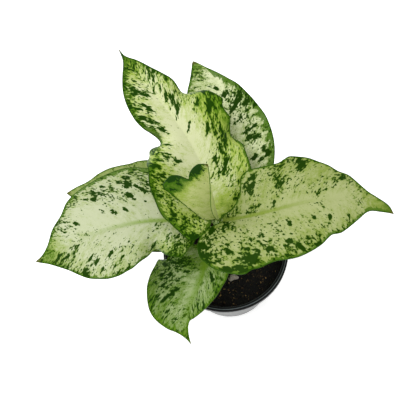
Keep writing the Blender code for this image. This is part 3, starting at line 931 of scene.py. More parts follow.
@dataclass
class Stalk:
    """One leaf stalk: a sheath that clasps the cane and narrows to a channelled round stalk."""

    leaf: BladeForm
    form: StalkForm
    finish: StalkFinish
    rings: int = 44
    sides: int = 28
    gather: float = 1.25
    sheath_height: float = 12.0
    sheath_thickness: float = 1.5
    channel: float = 0.28
    channel_width: float = 0.6
    cane_radius: float = 6.0
    into_blade: float = 1.0
    sharp_degrees: float = 50.0

    def build(self) -> bpy.types.Object:
        """Lofts and dresses the stalk in place of its CAD node.

        Returns:
            The finished piece.
        """
        name = self.leaf.name.replace("leaf", "stalk")
        bm = bmesh.new()
        bmesh.ops.create_grid(bm, x_segments=self.rings, y_segments=self.sides, size=1.0)
        knots = self._path()
        for vertex in bm.verts:
            share = ((vertex.co.x + 1.0) / 2.0) ** self.gather
            turn = math.tau * (vertex.co.y + 1.0) / 2.0 - math.pi / 2
            vertex.co = self._point(knots, share, turn) * MM
        bmesh.ops.remove_doubles(bm, verts=bm.verts, dist=0.01 * MM)
        bmesh.ops.holes_fill(bm, edges=[edge for edge in bm.edges if edge.is_boundary], sides=0)
        bmesh.ops.recalc_face_normals(bm, faces=bm.faces)
        piece = piece_from(name.replace("stalk", "stem"), bm)
        dress(piece, self.sharp_degrees, [self.finish.material(name + "_marbled")])
        return stand_for(piece, name)

    def _path(self) -> Knots:
        """Lays the stalk's path, from beside the cane to just inside the blade's base.

        Returns:
            The control points of its cubic curve.
        """
        form = self.form
        normal = Vector(self.leaf.rib_at("normal", 0.0))
        rib = Vector(self.leaf.rib_at("along", 0.0))
        turn = math.radians(form.azimuth)
        out = Vector((math.cos(turn), math.sin(turn), 0.0))
        start = out * (self.cane_radius + GAP + form.root_radius) + Vector((0, 0, form.foot))
        end = Vector(self.leaf.base) - normal * (form.under_blade - self.into_blade) - rib * form.behind_blade
        arrive = (rib * form.lean_to_rib + normal * (1.0 - form.lean_to_rib)).normalized()
        span = (end - start).length
        return start, start + Vector((0, 0, 0.5 * span)), end - arrive * 0.3 * span, end

    def _along(self, knots: Knots, share: float) -> Vector:
        """Reads the path's cubic curve.

        Args:
            knots: The path's control points.
            share: Where along the path.

        Returns:
            The point in millimetres.
        """
        a, b, c, d = knots
        rest = 1.0 - share
        return rest**3 * a + 3 * rest**2 * share * b + 3 * rest * share**2 * c + share**3 * d

    def _point(self, knots: Knots, share: float, turn: float) -> Vector:
        """Places a point of the loft, from the clasping crescent to the round channelled section.

        Args:
            knots: The path's control points.
            share: Where along the path.
            turn: The angle round the section.

        Returns:
            The point in millimetres.
        """
        centre = self._along(knots, share)
        rise = min(max((centre.z - self.form.foot) / self.sheath_height, 0.0), 1.0)
        clasp = 1.0 - eased(rise)
        ahead = self._along(knots, min(share + PATH_STEP, 1.0))
        ahead = (ahead - self._along(knots, max(share - PATH_STEP, 0.0))).normalized()
        azimuth = math.radians(self.form.azimuth)
        out = Vector((-math.sin(azimuth), math.cos(azimuth), 0.0)).cross(ahead).normalized()
        across = ahead.cross(out).normalized()
        channel = 1.0 - self.channel * float(bell(turn - math.pi, self.channel_width))
        radius = self.form.root_radius + (self.form.top_radius - self.form.root_radius) * share
        free = centre + (out * math.cos(turn) * channel + across * math.sin(turn)) * radius
        return self._clasping(turn, centre.z) * clasp + free * (1.0 - clasp)

    def _clasping(self, turn: float, height: float) -> Vector:
        """Places a point of the crescent that clasps the cane.

        Args:
            turn: The angle round the section.
            height: Its height.

        Returns:
            The point in millimetres.
        """
        folded = turn if turn <= math.pi / 2 else math.pi - turn
        swing = math.radians(self.form.azimuth) + math.radians(self.form.clasp) * folded / (math.pi / 2)
        radius = self.cane_radius + GAP
        if turn <= math.pi / 2:
            radius += self.sheath_thickness * (0.4 + 0.6 * math.cos(folded)) + 0.05
        return Vector((radius * math.cos(swing), radius * math.sin(swing), height))


@dataclass(frozen=True)
class CaneFinish:
    """The cane's green skin, with tan leaf scars."""

    green: Rgb = (98, 118, 56)
    dark: Rgb = (74, 92, 40)
    tan: Rgb = (150, 140, 98)

    def material(self, name: str) -> bpy.types.Material:
        """Makes the cane's finish.

        Args:
            name: The material's name.

        Returns:
            The material.
        """
        graph = Graph(name, 0.5, 0.4)
        place = graph.place()
        mottle = graph.noise(place, 260.0, 3.0, 0.6)
        rings = graph.noise(graph.stretched(place, (40.0, 40.0, 700.0)), 1.0)
        colour = graph.mix(graph.step(mottle, 0.4, 0.65), linear(self.green), linear(self.dark))
        graph.shade("Base Color", graph.mix(graph.step(rings, 0.56, 0.7), colour, linear(self.tan)))
        graph.bump(rings, 0.3, 0.5)
        return graph.material


@dataclass
class Cane:
    """The plant's short main stem, with a ring of leaf scar every few millimetres.

    Its crown, one scar and its lower end are corners by radius and height: the crown from the skin's
    radius and the top, a scar from its own height, and the end from the foot.
    """

    finish: CaneFinish
    radius: float = 6.0
    foot: float = 60.0
    top: float = 139.0
    scar_spacing: float = 13.0
    soil_top: float = 84.0
    steps: int = 64
    sharp_degrees: float = 50.0
    crown: Line = ((-6.0, 0.0), (-4.6, -0.3), (-3.4, -1.0), (-1.6, -6.0), (-0.5, -10.0), (0.0, -14.0))
    scar: Line = ((0.0, 0.8), (-0.15, 0.3), (-0.25, 0.0), (0.0, -0.8))
    end: Line = ((0.0, 1.0), (-0.3, 0.3), (-1.0, 0.0), (-6.0, 0.0))

    def build(self) -> bpy.types.Object:
        """Turns and dresses the cane in place of its CAD node.

        Returns:
            The finished piece.
        """
        profile = moved(self.crown, self.radius, self.top)
        height = profile[-1][1] - self.scar_spacing
        while height > self.soil_top:
            profile += moved(self.scar, self.radius, height)
            height -= self.scar_spacing
        profile += moved(self.end, self.radius, self.foot)
        piece = piece_from("cane_stem", turned(profile, self.steps))
        dress(piece, self.sharp_degrees, [self.finish.material("cane_skin")])
        return stand_for(piece, "cane")


@dataclass(frozen=True)
class PotFinish:
    """Thin black nursery plastic: half glossy, with faint dust, flow marks and painted highlight rings
    on the rim, pale rings that stand in for glints of light on its crests.

    A highlight ring is its radius and its half width in millimetres, and how pale it is.
    """

    black: Rgb = (22, 23, 23)
    dust: Rgb = (62, 62, 56)
    # The pale grey of the painted highlight rings on the rim
    painted_glint: Rgb = (104, 112, 114)
    sheen: Colour = (0.72, 0.78, 0.74, 1.0)
    wall_shine: float = 0.24
    rim_shine: float = 0.4
    # Painted highlights: pale rings on the rim's crests that stand in for glints of light
    glint_rings: tuple[Triple, ...] = ((55.8, 0.5, 0.3), (58.1, 0.55, 0.75))

    def material(self, name: str) -> bpy.types.Material:
        """Makes the wall's finish.

        Args:
            name: The material's name.

        Returns:
            The material.
        """
        graph = Graph(name, 0.3, 0.42)
        graph.shade("Specular Tint", self.sheen)
        return self._plastic(graph, self.wall_shine)

    def rim_material(self, name: str) -> bpy.types.Material:
        """Makes the duller finish of the rim and of the pot's inside."""
        return self._plastic(Graph(name, 0.45, 0.04), self.rim_shine)

    def _plastic(self, graph: Graph, shine: float) -> bpy.types.Material:
        """Paints the dust, the flow marks and the painted highlight rings on the rim.

        Args:
            graph: The material's nodes.
            shine: The lowest roughness.

        Returns:
            The material.
        """
        place = graph.place()
        cloud = graph.noise(place, 55.0, 3.0, 0.6)
        grit = graph.noise(place, 1500.0, 2.0, 0.6)
        flow = graph.noise(graph.stretched(place, (320.0, 320.0, 18.0)), 1.0)
        dusty = graph.times(graph.step(cloud, 0.5, 0.75), graph.step(grit, 0.52, 0.68))
        colour = graph.mix(graph.times(dusty, 0.35), linear(self.black), linear(self.dust))
        radius = graph.attribute("ring_mm")
        # Painted highlights: pale rings on the rim's crests, made uneven by the cloud noise
        for glint_radius, half_width, pale in self.glint_rings:
            away = graph.math("ABSOLUTE", graph.math("SUBTRACT", radius, glint_radius))
            painted_glint = graph.times(graph.fall(away, half_width * 0.3, half_width), graph.ramp(cloud, 1.2, 0.4))
            colour = graph.mix(graph.times(painted_glint, pale), colour, linear(self.painted_glint))
        graph.shade("Base Color", colour)
        graph.shade("Roughness", graph.ramp(cloud, 0.16, graph.ramp(dusty, 0.2, shine)))
        graph.bump(graph.ramp(flow, 0.8, graph.times(grit, 0.2)), 0.12, 0.3)
        return graph.material


@dataclass
class Pot:
    """The nursery pot: a thin tapered cup with a rolled rim and drain holes.

    The inner lip is given from the rim's inner top corner, the outer lip from its outer top corner,
    the skirt from the corner below that, and the foot from the wall's lower corner.
    """

    finish: PotFinish
    height: float = 96.0
    rim_radius: float = 60.0
    rim_width: float = 4.6
    rim_depth: float = 9.0
    dull_depth: float = 3.2
    # How far down from the top the painted highlight rings reach
    glint_depth: float = 9.5
    wall_top_radius: float = 57.0
    base_radius: float = 44.0
    wall: float = 1.4
    floor: float = 1.6
    steps: int = 160
    drain_count: int = 6
    drain_radius: float = 3.5
    drain_circle: float = 30.0
    drain_depth: float = 6.0
    drain_sides: int = 32
    sharp_degrees: float = 35.0
    inner_lip: Line = (
        (0, -2.4), (0.15, -1.4), (0.55, -0.6), (1.1, -0.3), (1.7, -0.35), (2.2, -0.1), (2.7, 0),
    )
    outer_lip: Line = ((-1.5, 0), (-0.9, -0.12), (-0.35, -0.5), (-0.08, -1.1), (0, -1.9), (-0.06, -3.2))
    skirt: Line = ((-0.3, 1.0), (-0.5, 0.3), (-1.0, 0), (-2.7, 0), (-3.0, -0.3))
    foot: Line = ((-0.4, 0.15), (-0.9, 0.0), (-44.0, 0.0))

    def wall_radius(self, height: float) -> float:
        """Gives the outer radius of the tapered wall at a height."""
        share = min(height / (self.height - self.rim_depth), 1.0)
        return self.base_radius + (self.wall_top_radius - self.base_radius) * share

    def profile(self) -> list[Pair]:
        """Runs the wall's section, from the axis inside over the rim to the axis below.

        Returns:
            Radius and height of each corner.
        """
        inner, low = self.rim_radius - self.rim_width, self.height - self.rim_depth
        inside = self.wall_radius(self.floor) - self.wall
        corners = [(0.0, self.floor), (inside - 1.5, self.floor), (inside, self.floor + 1.2), (inner, low)]
        corners += moved(self.inner_lip, inner, self.height)
        corners += moved(self.outer_lip, self.rim_radius, self.height)
        corners += moved(self.skirt, self.rim_radius, low)
        corners += [(self.wall_radius(1.4), 1.4), (self.wall_radius(0.8) - 0.1, 0.6)]
        return corners + moved(self.foot, self.base_radius, 0.0)

    def build(self) -> bpy.types.Object:
        """Turns, drills and dresses the pot in place of its CAD node.

        Returns:
            The finished piece.
        """
        piece = piece_from("pot_shell", turned(self.profile(), self.steps))
        drill = self._drill()
        cut = piece.modifiers.new("Drain holes", "BOOLEAN")
        cut.operation = "DIFFERENCE"
        cut.object = drill
        apply_modifiers(piece)
        bpy.data.objects.remove(drill, do_unlink=True)
        plastic = self.finish.material("nursery_plastic")
        dress(piece, self.sharp_degrees, [plastic, self.finish.rim_material("nursery_plastic_rim")])
        self._tell_rim(piece)
        return stand_for(piece, "pot")

    def _tell_rim(self, piece: bpy.types.Object) -> None:
        """Gives the rim and the inside the duller finish, and every point of the top its radius for
        the painted highlight rings.

        Args:
            piece: The turned pot.
        """
        rings = piece.data.attributes.new("ring_mm", "FLOAT", "POINT")
        for vertex, ring in zip(piece.data.vertices, rings.data):
            is_top = vertex.co.z > (self.height - self.glint_depth) * MM
            ring.value = math.hypot(vertex.co.x, vertex.co.y) / MM if is_top else 0.0
        for face in piece.data.polygons:
            middle, normal = face.center, face.normal
            is_inside = middle.x * normal.x + middle.y * normal.y < 0.0
            is_rim = middle.z > (self.height - self.dull_depth) * MM
            face.material_index = 1 if is_rim or is_inside else 0

    def _drill(self) -> bpy.types.Object:
        """Makes the cutter of the drain holes, one short cylinder for each.

        Returns:
            The cutter.
        """
        bm = bmesh.new()
        radius = self.drain_radius * MM
        for i in range(self.drain_count):
            turn = math.tau * (i + 0.5) / self.drain_count
            at = Vector((math.cos(turn), math.sin(turn), 0.0)) * self.drain_circle
            at.z = self.floor / 2
            place = Matrix.Translation(at * MM)
            shape = {"radius1": radius, "radius2": radius, "depth": self.drain_depth * MM}
            bmesh.ops.create_cone(bm, cap_ends=True, segments=self.drain_sides, matrix=place, **shape)
        return piece_from("drain_cutter", bm)


@dataclass(frozen=True)
class SoilFinish:
    """Dark potting soil, whose crumbs run from near black over brown to a few pale ones."""

    black: Rgb = (15, 14, 13)
    brown: Rgb = (54, 41, 27)
    tan: Rgb = (118, 94, 60)
    perlite: Rgb = (150, 142, 132)

    def material(self, name: str) -> bpy.types.Material:
        """Makes the soil's finish.

        Args:
            name: The material's name.

        Returns:
            The material.
        """
        graph = Graph(name, 0.9, 0.2)
        place, tint = graph.place(), graph.attribute("tint")
        grain = graph.noise(place, 900.0, 4.0, 0.7)
        patchy = graph.noise(place, 90.0, 3.0, 0.6)
        share = graph.plus(tint, graph.ramp(patchy, 1.3, -0.65))
        share = graph.plus(share, graph.ramp(grain, 0.35, -0.17))
        colour = graph.mix(graph.step(share, 0.15, 0.5), linear(self.black), linear(self.brown))
        colour = graph.mix(graph.step(share, 0.62, 0.85), colour, linear(self.tan))
        graph.shade("Base Color", graph.mix(graph.step(tint, 1.2, 1.5), colour, linear(self.perlite)))
        graph.bump(grain, 0.5, 0.7)
        return graph.material


@dataclass
class Soil:
    """The potting soil: an uneven top with crumbs, a pale lump and a plain hole for the cane."""

    finish: SoilFinish
    pot: Pot
    top: float = 84.0
    mound: float = 1.6
    roughness: float = 1.1
    grain: float = 0.45
    hole_radius: float = 6.25
    hole_foot: float = 59.7
    steps: int = 150
    rings: int = 48
    crumb_count: int = 56
    crumb_sizes: Pair = (0.8, 1.5)
    crumb_reach: Pair = (12.0, 40.0)
    crumb_limit: float = 51.5
    crumb_shape: Triple = (1.5, 1.0, 0.8)
    lump_at: Pair = (1.8, -26.2)
    lump_size: Triple = (4.4, 2.8, 2.4)
    lump_turn: float = 0.2
    lump_shade: float = 2.0
    grit_count: int = 1500
    grit_sizes: Pair = (0.28, 0.6)
    grit_reach: Pair = (8.0, 45.5)
    pale_share: float = 0.05
    seed: int = 7
    sharp_degrees: float = 75.0

    def level(self, x: float, y: float) -> float:
        """Gives the height of the uneven top.

        Args:
            x: Place across, in millimetres.
            y: Place away, in millimetres.

        Returns:
            The height in millimetres.
        """
        share = math.hypot(x, y) / self.pot.rim_radius
        bumps = noise.noise(Vector((x * 0.09, y * 0.09, 3.0)))
        bumps += 0.5 * noise.noise(Vector((x * 0.23, y * 0.23, 9.0)))
        return self.top + self.mound * (1.0 - share * share) + self.roughness * bumps

    def build(self) -> bpy.types.Object:
        """Builds and dresses the soil in place of its CAD node.

        Returns:
            The finished piece.
        """
        bm = self._body()
        bm.verts.layers.float.new("tint")
        draw = random.Random(self.seed)
        self._crumb(bm, draw, self.lump_at, self.lump_size, self.lump_shade, 3, self.lump_turn)
        for i in range(self.crumb_count):
            turn = i * math.pi * (3.0 - math.sqrt(5.0))
            reach = self.crumb_reach[0] + self.crumb_reach[1] * math.sqrt((i + 0.5) / self.crumb_count)
            size = draw.uniform(*self.crumb_sizes)
            at = (reach * math.cos(turn) + draw.uniform(-1, 1), reach * math.sin(turn) + draw.uniform(-1, 1))
            if math.hypot(*at) < self.crumb_limit:
                shape = tuple(size * share for share in self.crumb_shape)
                self._crumb(bm, draw, at, shape, draw.uniform(0.1, 0.55), 2)
        for _ in range(self.grit_count):
            turn = draw.uniform(0.0, math.tau)
            reach = self.grit_reach[0] + self.grit_reach[1] * math.sqrt(draw.random())
            size = self.grit_sizes[0] + self.grit_sizes[1] * draw.random() ** 2
            shade = 1.0 if draw.random() < self.pale_share else draw.uniform(0.0, 0.8)
            shape = (size * draw.uniform(0.9, 2.2), size, size * draw.uniform(0.5, 0.9))
            self._crumb(bm, draw, (reach * math.cos(turn), reach * math.sin(turn)), shape, shade, 1)
        piece = piece_from("soil_fill", bm)
        dress(piece, self.sharp_degrees, [self.finish.material("potting_soil_crumbs")])
        return stand_for(piece, "soil")

    def _body(self) -> bmesh.types.BMesh:
        """Turns the fill of the pot and roughens its top.

        Returns:
            The fill without its crumbs.
        """
        edge = self.pot.wall_radius(self.top) - self.pot.wall - GAP - 0.2
        low = self.pot.floor + GAP
        profile = [(0.0, self.hole_foot), (self.hole_radius, self.hole_foot)]
        for i in range(self.rings + 1):
            profile.append((self.hole_radius + (edge - self.hole_radius) * (i / self.rings), self.top))
        profile += [(self.pot.wall_radius(self.pot.floor) - self.pot.wall - GAP - 0.4, low), (0.0, low)]
        bm = turned(profile, self.steps)
        for vertex in bm.verts:
            x, y, z = vertex.co / MM
            if z > self.top - 1.0:
                fine = noise.noise(Vector((x * 0.7, y * 0.7, 5.0)))
                fine += 0.6 * noise.noise(Vector((x * 1.6, y * 1.6, 8.0)))
                inside = min(max(edge - math.hypot(x, y), 0.0) / 2.0, 1.0)
                vertex.co.z = (self.level(x, y) + self.grain * fine * (0.3 + 0.7 * inside)) * MM
        return bm

    def _crumb(
        self,
        bm: bmesh.types.BMesh,
        draw: random.Random,
        at: Pair,
        size: Triple,
        shade: float,
        fineness: int,
        turn: float | None = None,
    ) -> None:
        """Adds an uneven crumb, sunk into the soil by almost half its height.

        Args:
            bm: The soil's bmesh, with its layer of tints.
            draw: The seeded random draw.
            at: Where it lies, in millimetres.
            size: Its three radii.
            shade: How pale it is.
            fineness: How finely its ball is divided.
            turn: Its turn in radians, where it isn't drawn.
        """
        ball = bmesh.ops.create_icosphere(bm, subdivisions=fineness, radius=1.0)["verts"]
        tint = bm.verts.layers.float["tint"]
        turn = draw.uniform(0.0, math.tau) if turn is None else turn
        rough = draw.uniform(0.0, 50.0)
        height = self.level(*at) + 0.1 * size[2]
        for vertex in ball:
            knob = 1.0 + 0.5 * noise.noise(vertex.co * 1.7 + Vector((rough, 0.0, 0.0)))
            x, y, z = (a * b * knob for a, b in zip(vertex.co, size))
            x, y = x * math.cos(turn) - y * math.sin(turn), x * math.sin(turn) + y * math.cos(turn)
            vertex.co = Vector((at[0] + x, at[1] + y, height + z)) * MM
            vertex[tint] = shade


@dataclass(frozen=True)
class FloorFinish:
    """The plain white floor."""

    white: Rgb = (250, 250, 250)
    grain: Rgb = (248, 248, 247)
    glow: float = 0.45

    def material(self, name: str) -> bpy.types.Material:
        """Makes the floor's finish, with a faint paper grain.

        Args:
            name: The material's name.

        Returns:
            The material.
        """
        graph = Graph(name, 0.7, 0.2)
        grain = graph.noise(graph.place(), 40.0)
        graph.shade("Base Color", graph.mix(grain, linear(self.white), linear(self.grain)))
        graph.shade("Emission Color", WHITE)
        graph.shade("Emission Strength", self.glow)
        return graph.material


@dataclass
class Studio:
    """The floor, the soft lights, the pale surroundings and the camera.

    A lamp is its name, its place in metres, its side and its power. The camera's place is in millimetres.
    """

    finish: FloorFinish
    half_floor: float = 3.0
    floor_drop: float = 0.1
    surroundings: float = 0.85
    lamps: tuple[tuple[str, Triple, float, float], ...] = (
        ("key_light", (-0.6, 0.1, 1.3), 0.9, 11.0),
        ("fill_light", (0.8, -0.9, 1.0), 1.2, 3.0),
    )
    lamps_face: Triple = (0.0, 0.0, 0.13)
    camera_at: Triple = (-8.0, -163.6, 548.2)
    camera_right: Triple = (0.9785, -0.1870, -0.0868)
    camera_up: Triple = (0.2062, 0.8876, 0.4120)
    focal_pixels: float = 500.0
    image_pixels: float = 416.0
    sensor: float = 36.0

    def build(self) -> None:
        """Sets up everything round the plant."""
        scene = bpy.context.scene
        scene.view_settings.view_transform = "Standard"
        scene.view_settings.look = "None"
        self._floor()
        self._world(scene)
        for name, at, size, watts in self.lamps:
            self._lamp(name, Vector(at), size, watts)
        self._camera(scene)

    def _floor(self) -> None:
        """Lays the floor just under the pot."""
        bm = bmesh.new()
        bmesh.ops.create_grid(bm, x_segments=1, y_segments=1, size=self.half_floor)
        bmesh.ops.translate(bm, verts=bm.verts, vec=(0.0, 0.0, -self.floor_drop * MM))
        floor = piece_from("studio_floor", bm)
        floor.data.materials.append(self.finish.material("white_floor"))

    def _world(self, scene: bpy.types.Scene) -> None:
        """Surrounds the scene with a pale even light.

        Args:
            scene: The scene.
        """
        world = bpy.data.worlds.new("studio_air")
        world.use_nodes = True
        background = world.node_tree.nodes["Background"]
        background.inputs["Color"].default_value = WHITE
        background.inputs["Strength"].default_value = self.surroundings
        scene.world = world

    def _lamp(self, name: str, at: Vector, size: float, watts: float) -> None:
        """Hangs a soft square light that faces the plant.

        Args:
            name: The light's name.
            at: Where it hangs, in metres.
            size: Its side, in metres.
            watts: Its power.
        """
        light = bpy.data.lights.new(name, "AREA")
        light.size = size
        light.energy = watts
        lamp = bpy.data.objects.new(name, light)
        lamp.location = at
        lamp.rotation_euler = (Vector(self.lamps_face) - at).to_track_quat("-Z", "Y").to_euler()
        bpy.context.scene.collection.objects.link(lamp)

    def _camera(self, scene: bpy.types.Scene) -> None:
        """Stands the camera where the photo was taken from.

        Args:
            scene: The scene.
        """
        right, up = Vector(self.camera_right).normalized(), Vector(self.camera_up)
        back = right.cross(up).normalized()
        turn = Matrix((right, back.cross(right), back)).transposed().to_4x4()
        data = bpy.data.cameras.new("photo_camera")
        data.sensor_width = self.sensor
        data.lens = self.focal_pixels * self.sensor / self.image_pixels
        camera = bpy.data.objects.new("photo_camera", data)
        camera.matrix_world = Matrix.Translation(Vector(self.camera_at) * MM) @ turn
        scene.collection.objects.link(camera)
        scene.camera = camera


LEAVES = (
    BladeForm(
        name="leaf_centre", base=(-5.5, 5, 166), length=179, heading=(75, 117, 101), climb=(38, 20, -15),
        slope_left=(35, 20, 10), slope_right=(4, 20, 10), curl_left=(10, 10, 10), curl_right=(10, 10, 10),
        folds_left=((77, 9, -110), (125, 18, -15)), folds_right=((103, 10, -90), (54, 9, -80)),
        left=(
            (-8, 2), (-13.5, 6.5), (-17, 13), (-18.5, 20), (-9, 31), (7, 44), (27, 49), (50, 49), (64, 43),
            (71, 41), (77, 41), (79, 37), (78.5, 32), (77.5, 28), (79, 25), (84, 22.5), (94, 27), (102, 28),
            (110, 27), (118, 25), (126, 22), (133, 18.5), (146, 10), (153, 5.5), (161, 2),
        ),
        right=(
            (-6, 3.5), (-4, 7), (0.5, 11), (3, 20), (5, 30), (13, 37), (32, 37.5), (42, 38), (50, 41.5),
            (56, 40), (61, 38), (66, 39), (71, 38), (75.5, 38.5), (78.5, 41.5), (82, 40.5), (87, 38),
            (92, 35.5), (96, 33), (99.5, 30), (103, 26), (109, 22), (117, 19.5), (124, 17), (130, 15),
            (137, 12.5), (145, 10), (153, 7), (160, 3.5), (165, 1.5),
        ),
    ),
    BladeForm(
        name="leaf_right", base=(1.9, -3.4, 174), length=141, heading=(-20, -3, -42), climb=(25, 5, -28),
        fan=1.15, slope_left=(36, 14, 6), slope_right=(25, 10, 6), curl_left=(30, 25, 20),
        curl_right=(30, 25, 20),
        left=(
            (-1.5, 3.5), (5, 6.5), (12, 11.5), (17, 18), (19.5, 25), (21, 33), (27, 37), (44, 38),
            (56, 38.3), (61, 40.5), (65, 42), (71, 40.5), (78, 38), (84, 34), (91, 29.8), (97, 24.5),
            (103, 21.5), (110, 14.3), (117, 9), (125, 6.3), (135, 4),
        ),
        right=(
            (-11, 7), (-17, 14), (-18, 23), (-14, 32), (-11, 36), (-4, 41), (2, 45), (10, 48), (16, 49.3),
            (19.5, 48.8), (23, 46), (28, 45), (33, 43), (38, 41.8), (47, 42.3), (53, 42.2), (59, 41),
            (67, 38.5), (75, 35), (80, 31.5), (84, 29.3), (89, 28.8), (93, 28), (102, 23), (111, 16),
            (119, 8), (131, 4),
        ),
    ),
    BladeForm(
        name="leaf_left", base=(-24, 7, 158), length=141, heading=(162, 185, 189), climb=(15, 0, -20),
        twist=(10, 10, 0), slope_left=(8, 12, 6), folds_left=((32, 10, -110),),
        left=(
            (-4.5, 9), (-5, 15), (-3, 20), (0, 24.5), (2.5, 30), (7, 33.5), (13, 34), (21, 32), (31, 31),
            (41, 33), (54, 42), (60, 44), (69, 46.2), (79, 45.6), (87, 42.6), (96, 38), (104, 31),
            (112, 22.8), (121, 15), (129, 8.3), (137, 3),
        ),
        right=(
            (-6, 10), (-6, 20), (2, 34), (16, 47), (34, 57), (50, 62), (66, 60), (80, 56), (92, 51),
            (102, 44), (110, 32), (119, 22), (128, 7), (134, 2),
        ),
    ),
    BladeForm(
        name="leaf_back", base=(9, 25, 149), length=146, heading=(66, 86, 131), climb=(36, 18, -15),
        slope_left=(5, 5, 5),
        left=(
            (-8, 10), (-9, 19), (2, 30), (30, 36), (65, 34), (93, 33), (112, 30), (120, 26), (126, 21.5),
            (132, 16.8), (137.5, 11.5), (142, 6.5), (145, 3),
        ),
        right=(
            (-8, 10), (-6, 20), (5, 32), (20, 36.5), (42, 38.3), (53, 37.3), (65, 34), (72, 31.3), (78, 28),
            (85, 24.3), (94, 19.5), (102, 15.5), (108, 11.5), (114, 8), (122, 4), (131, 1),
        ),
    ),
    BladeForm(
        name="leaf_front", base=(-19.4, -4.3, 128), length=94, heading=(-79, -128, -64),
        climb=(-5, -22, -40), twist=(10, 15, 5), slope_left=(30, 30, 10),
        left=(
            (3, 8), (6, 16), (14, 25), (22, 29), (30, 27), (37, 25), (42, 22.5), (50, 18.5), (58, 13),
            (65, 7.5), (69, 3.5), (74, 2), (80, 1.5), (87, 1),
        ),
        right=(
            (-9, 14), (-8, 26), (0, 36), (17, 44), (28, 48), (39, 50.5), (46, 51.8), (53, 51.5), (58, 49.8),
            (62, 46.8), (66, 43), (70, 38), (73.5, 31), (76.3, 23.5), (78.5, 17), (80, 11), (82.5, 6),
            (87, 2),
        ),
    ),
    BladeForm(
        name="leaf_under", base=(-17, 17, 139), length=132, heading=(152, 155, 158), climb=(8, 0, -12),
        slope_right=(8, 8, 5), curl_right=(10, 10, 10),
        left=((0, 9), (2, 20), (7, 32), (30, 42), (60, 41), (85, 32), (105, 18), (120, 7)),
        right=(
            (-8, 10), (-9, 22), (2, 36), (30, 46), (48, 46.5), (62, 44), (71, 41), (77, 37.5), (89, 33),
            (96, 30), (101, 26.5), (106, 22), (110, 17), (115, 12.5), (122, 8), (128, 3.5),
        ),
    ),
    BladeForm(
        name="leaf_young", base=(-3.2, -1.5, 174), length=71.8, heading=(100, 85, 70), climb=(78, 82, 78),
        slope_left=(0, 0, 0), slope_right=(85, 85, 60), curl_left=(-25, -25, -20),
        curl_right=(-20, -20, -20),
        left=(
            (6, 9), (23, 17), (38, 24), (50, 31), (55, 34), (60, 31), (63.5, 26.5), (63, 21), (60, 17.2),
            (58, 14.6), (60.8, 14.1), (64.5, 13), (68, 11), (71, 8.2), (72.8, 5.2), (72.9, 2.3),
        ),
        right=((8, 6), (25, 12), (45, 15), (58, 12), (68, 6)),
    ),
)

STALKS = {
    "leaf_front": StalkForm(azimuth=215, foot=88, root_radius=2.6, top_radius=1.9, under_blade=2.6),
    "leaf_back": StalkForm(azimuth=60, foot=90, root_radius=2.9, top_radius=2.1, under_blade=2.3),
    "leaf_under": StalkForm(azimuth=135, foot=101, root_radius=2.8, top_radius=2.0, under_blade=2.1),
    "leaf_right": StalkForm(azimuth=-18, foot=112, root_radius=3.0, top_radius=2.2, under_blade=2.1),
    "leaf_left": StalkForm(azimuth=172, foot=112, root_radius=3.0, top_radius=2.2, under_blade=2.1),
    "leaf_centre": StalkForm(azimuth=100, foot=121, root_radius=2.9, top_radius=2.1, under_blade=2.2),
    "leaf_young": StalkForm(
        azimuth=-125, foot=124, root_radius=2.3, top_radius=1.6, clasp=40, under_blade=0.4,
        behind_blade=0.6, lean_to_rib=1.0,
    ),
}

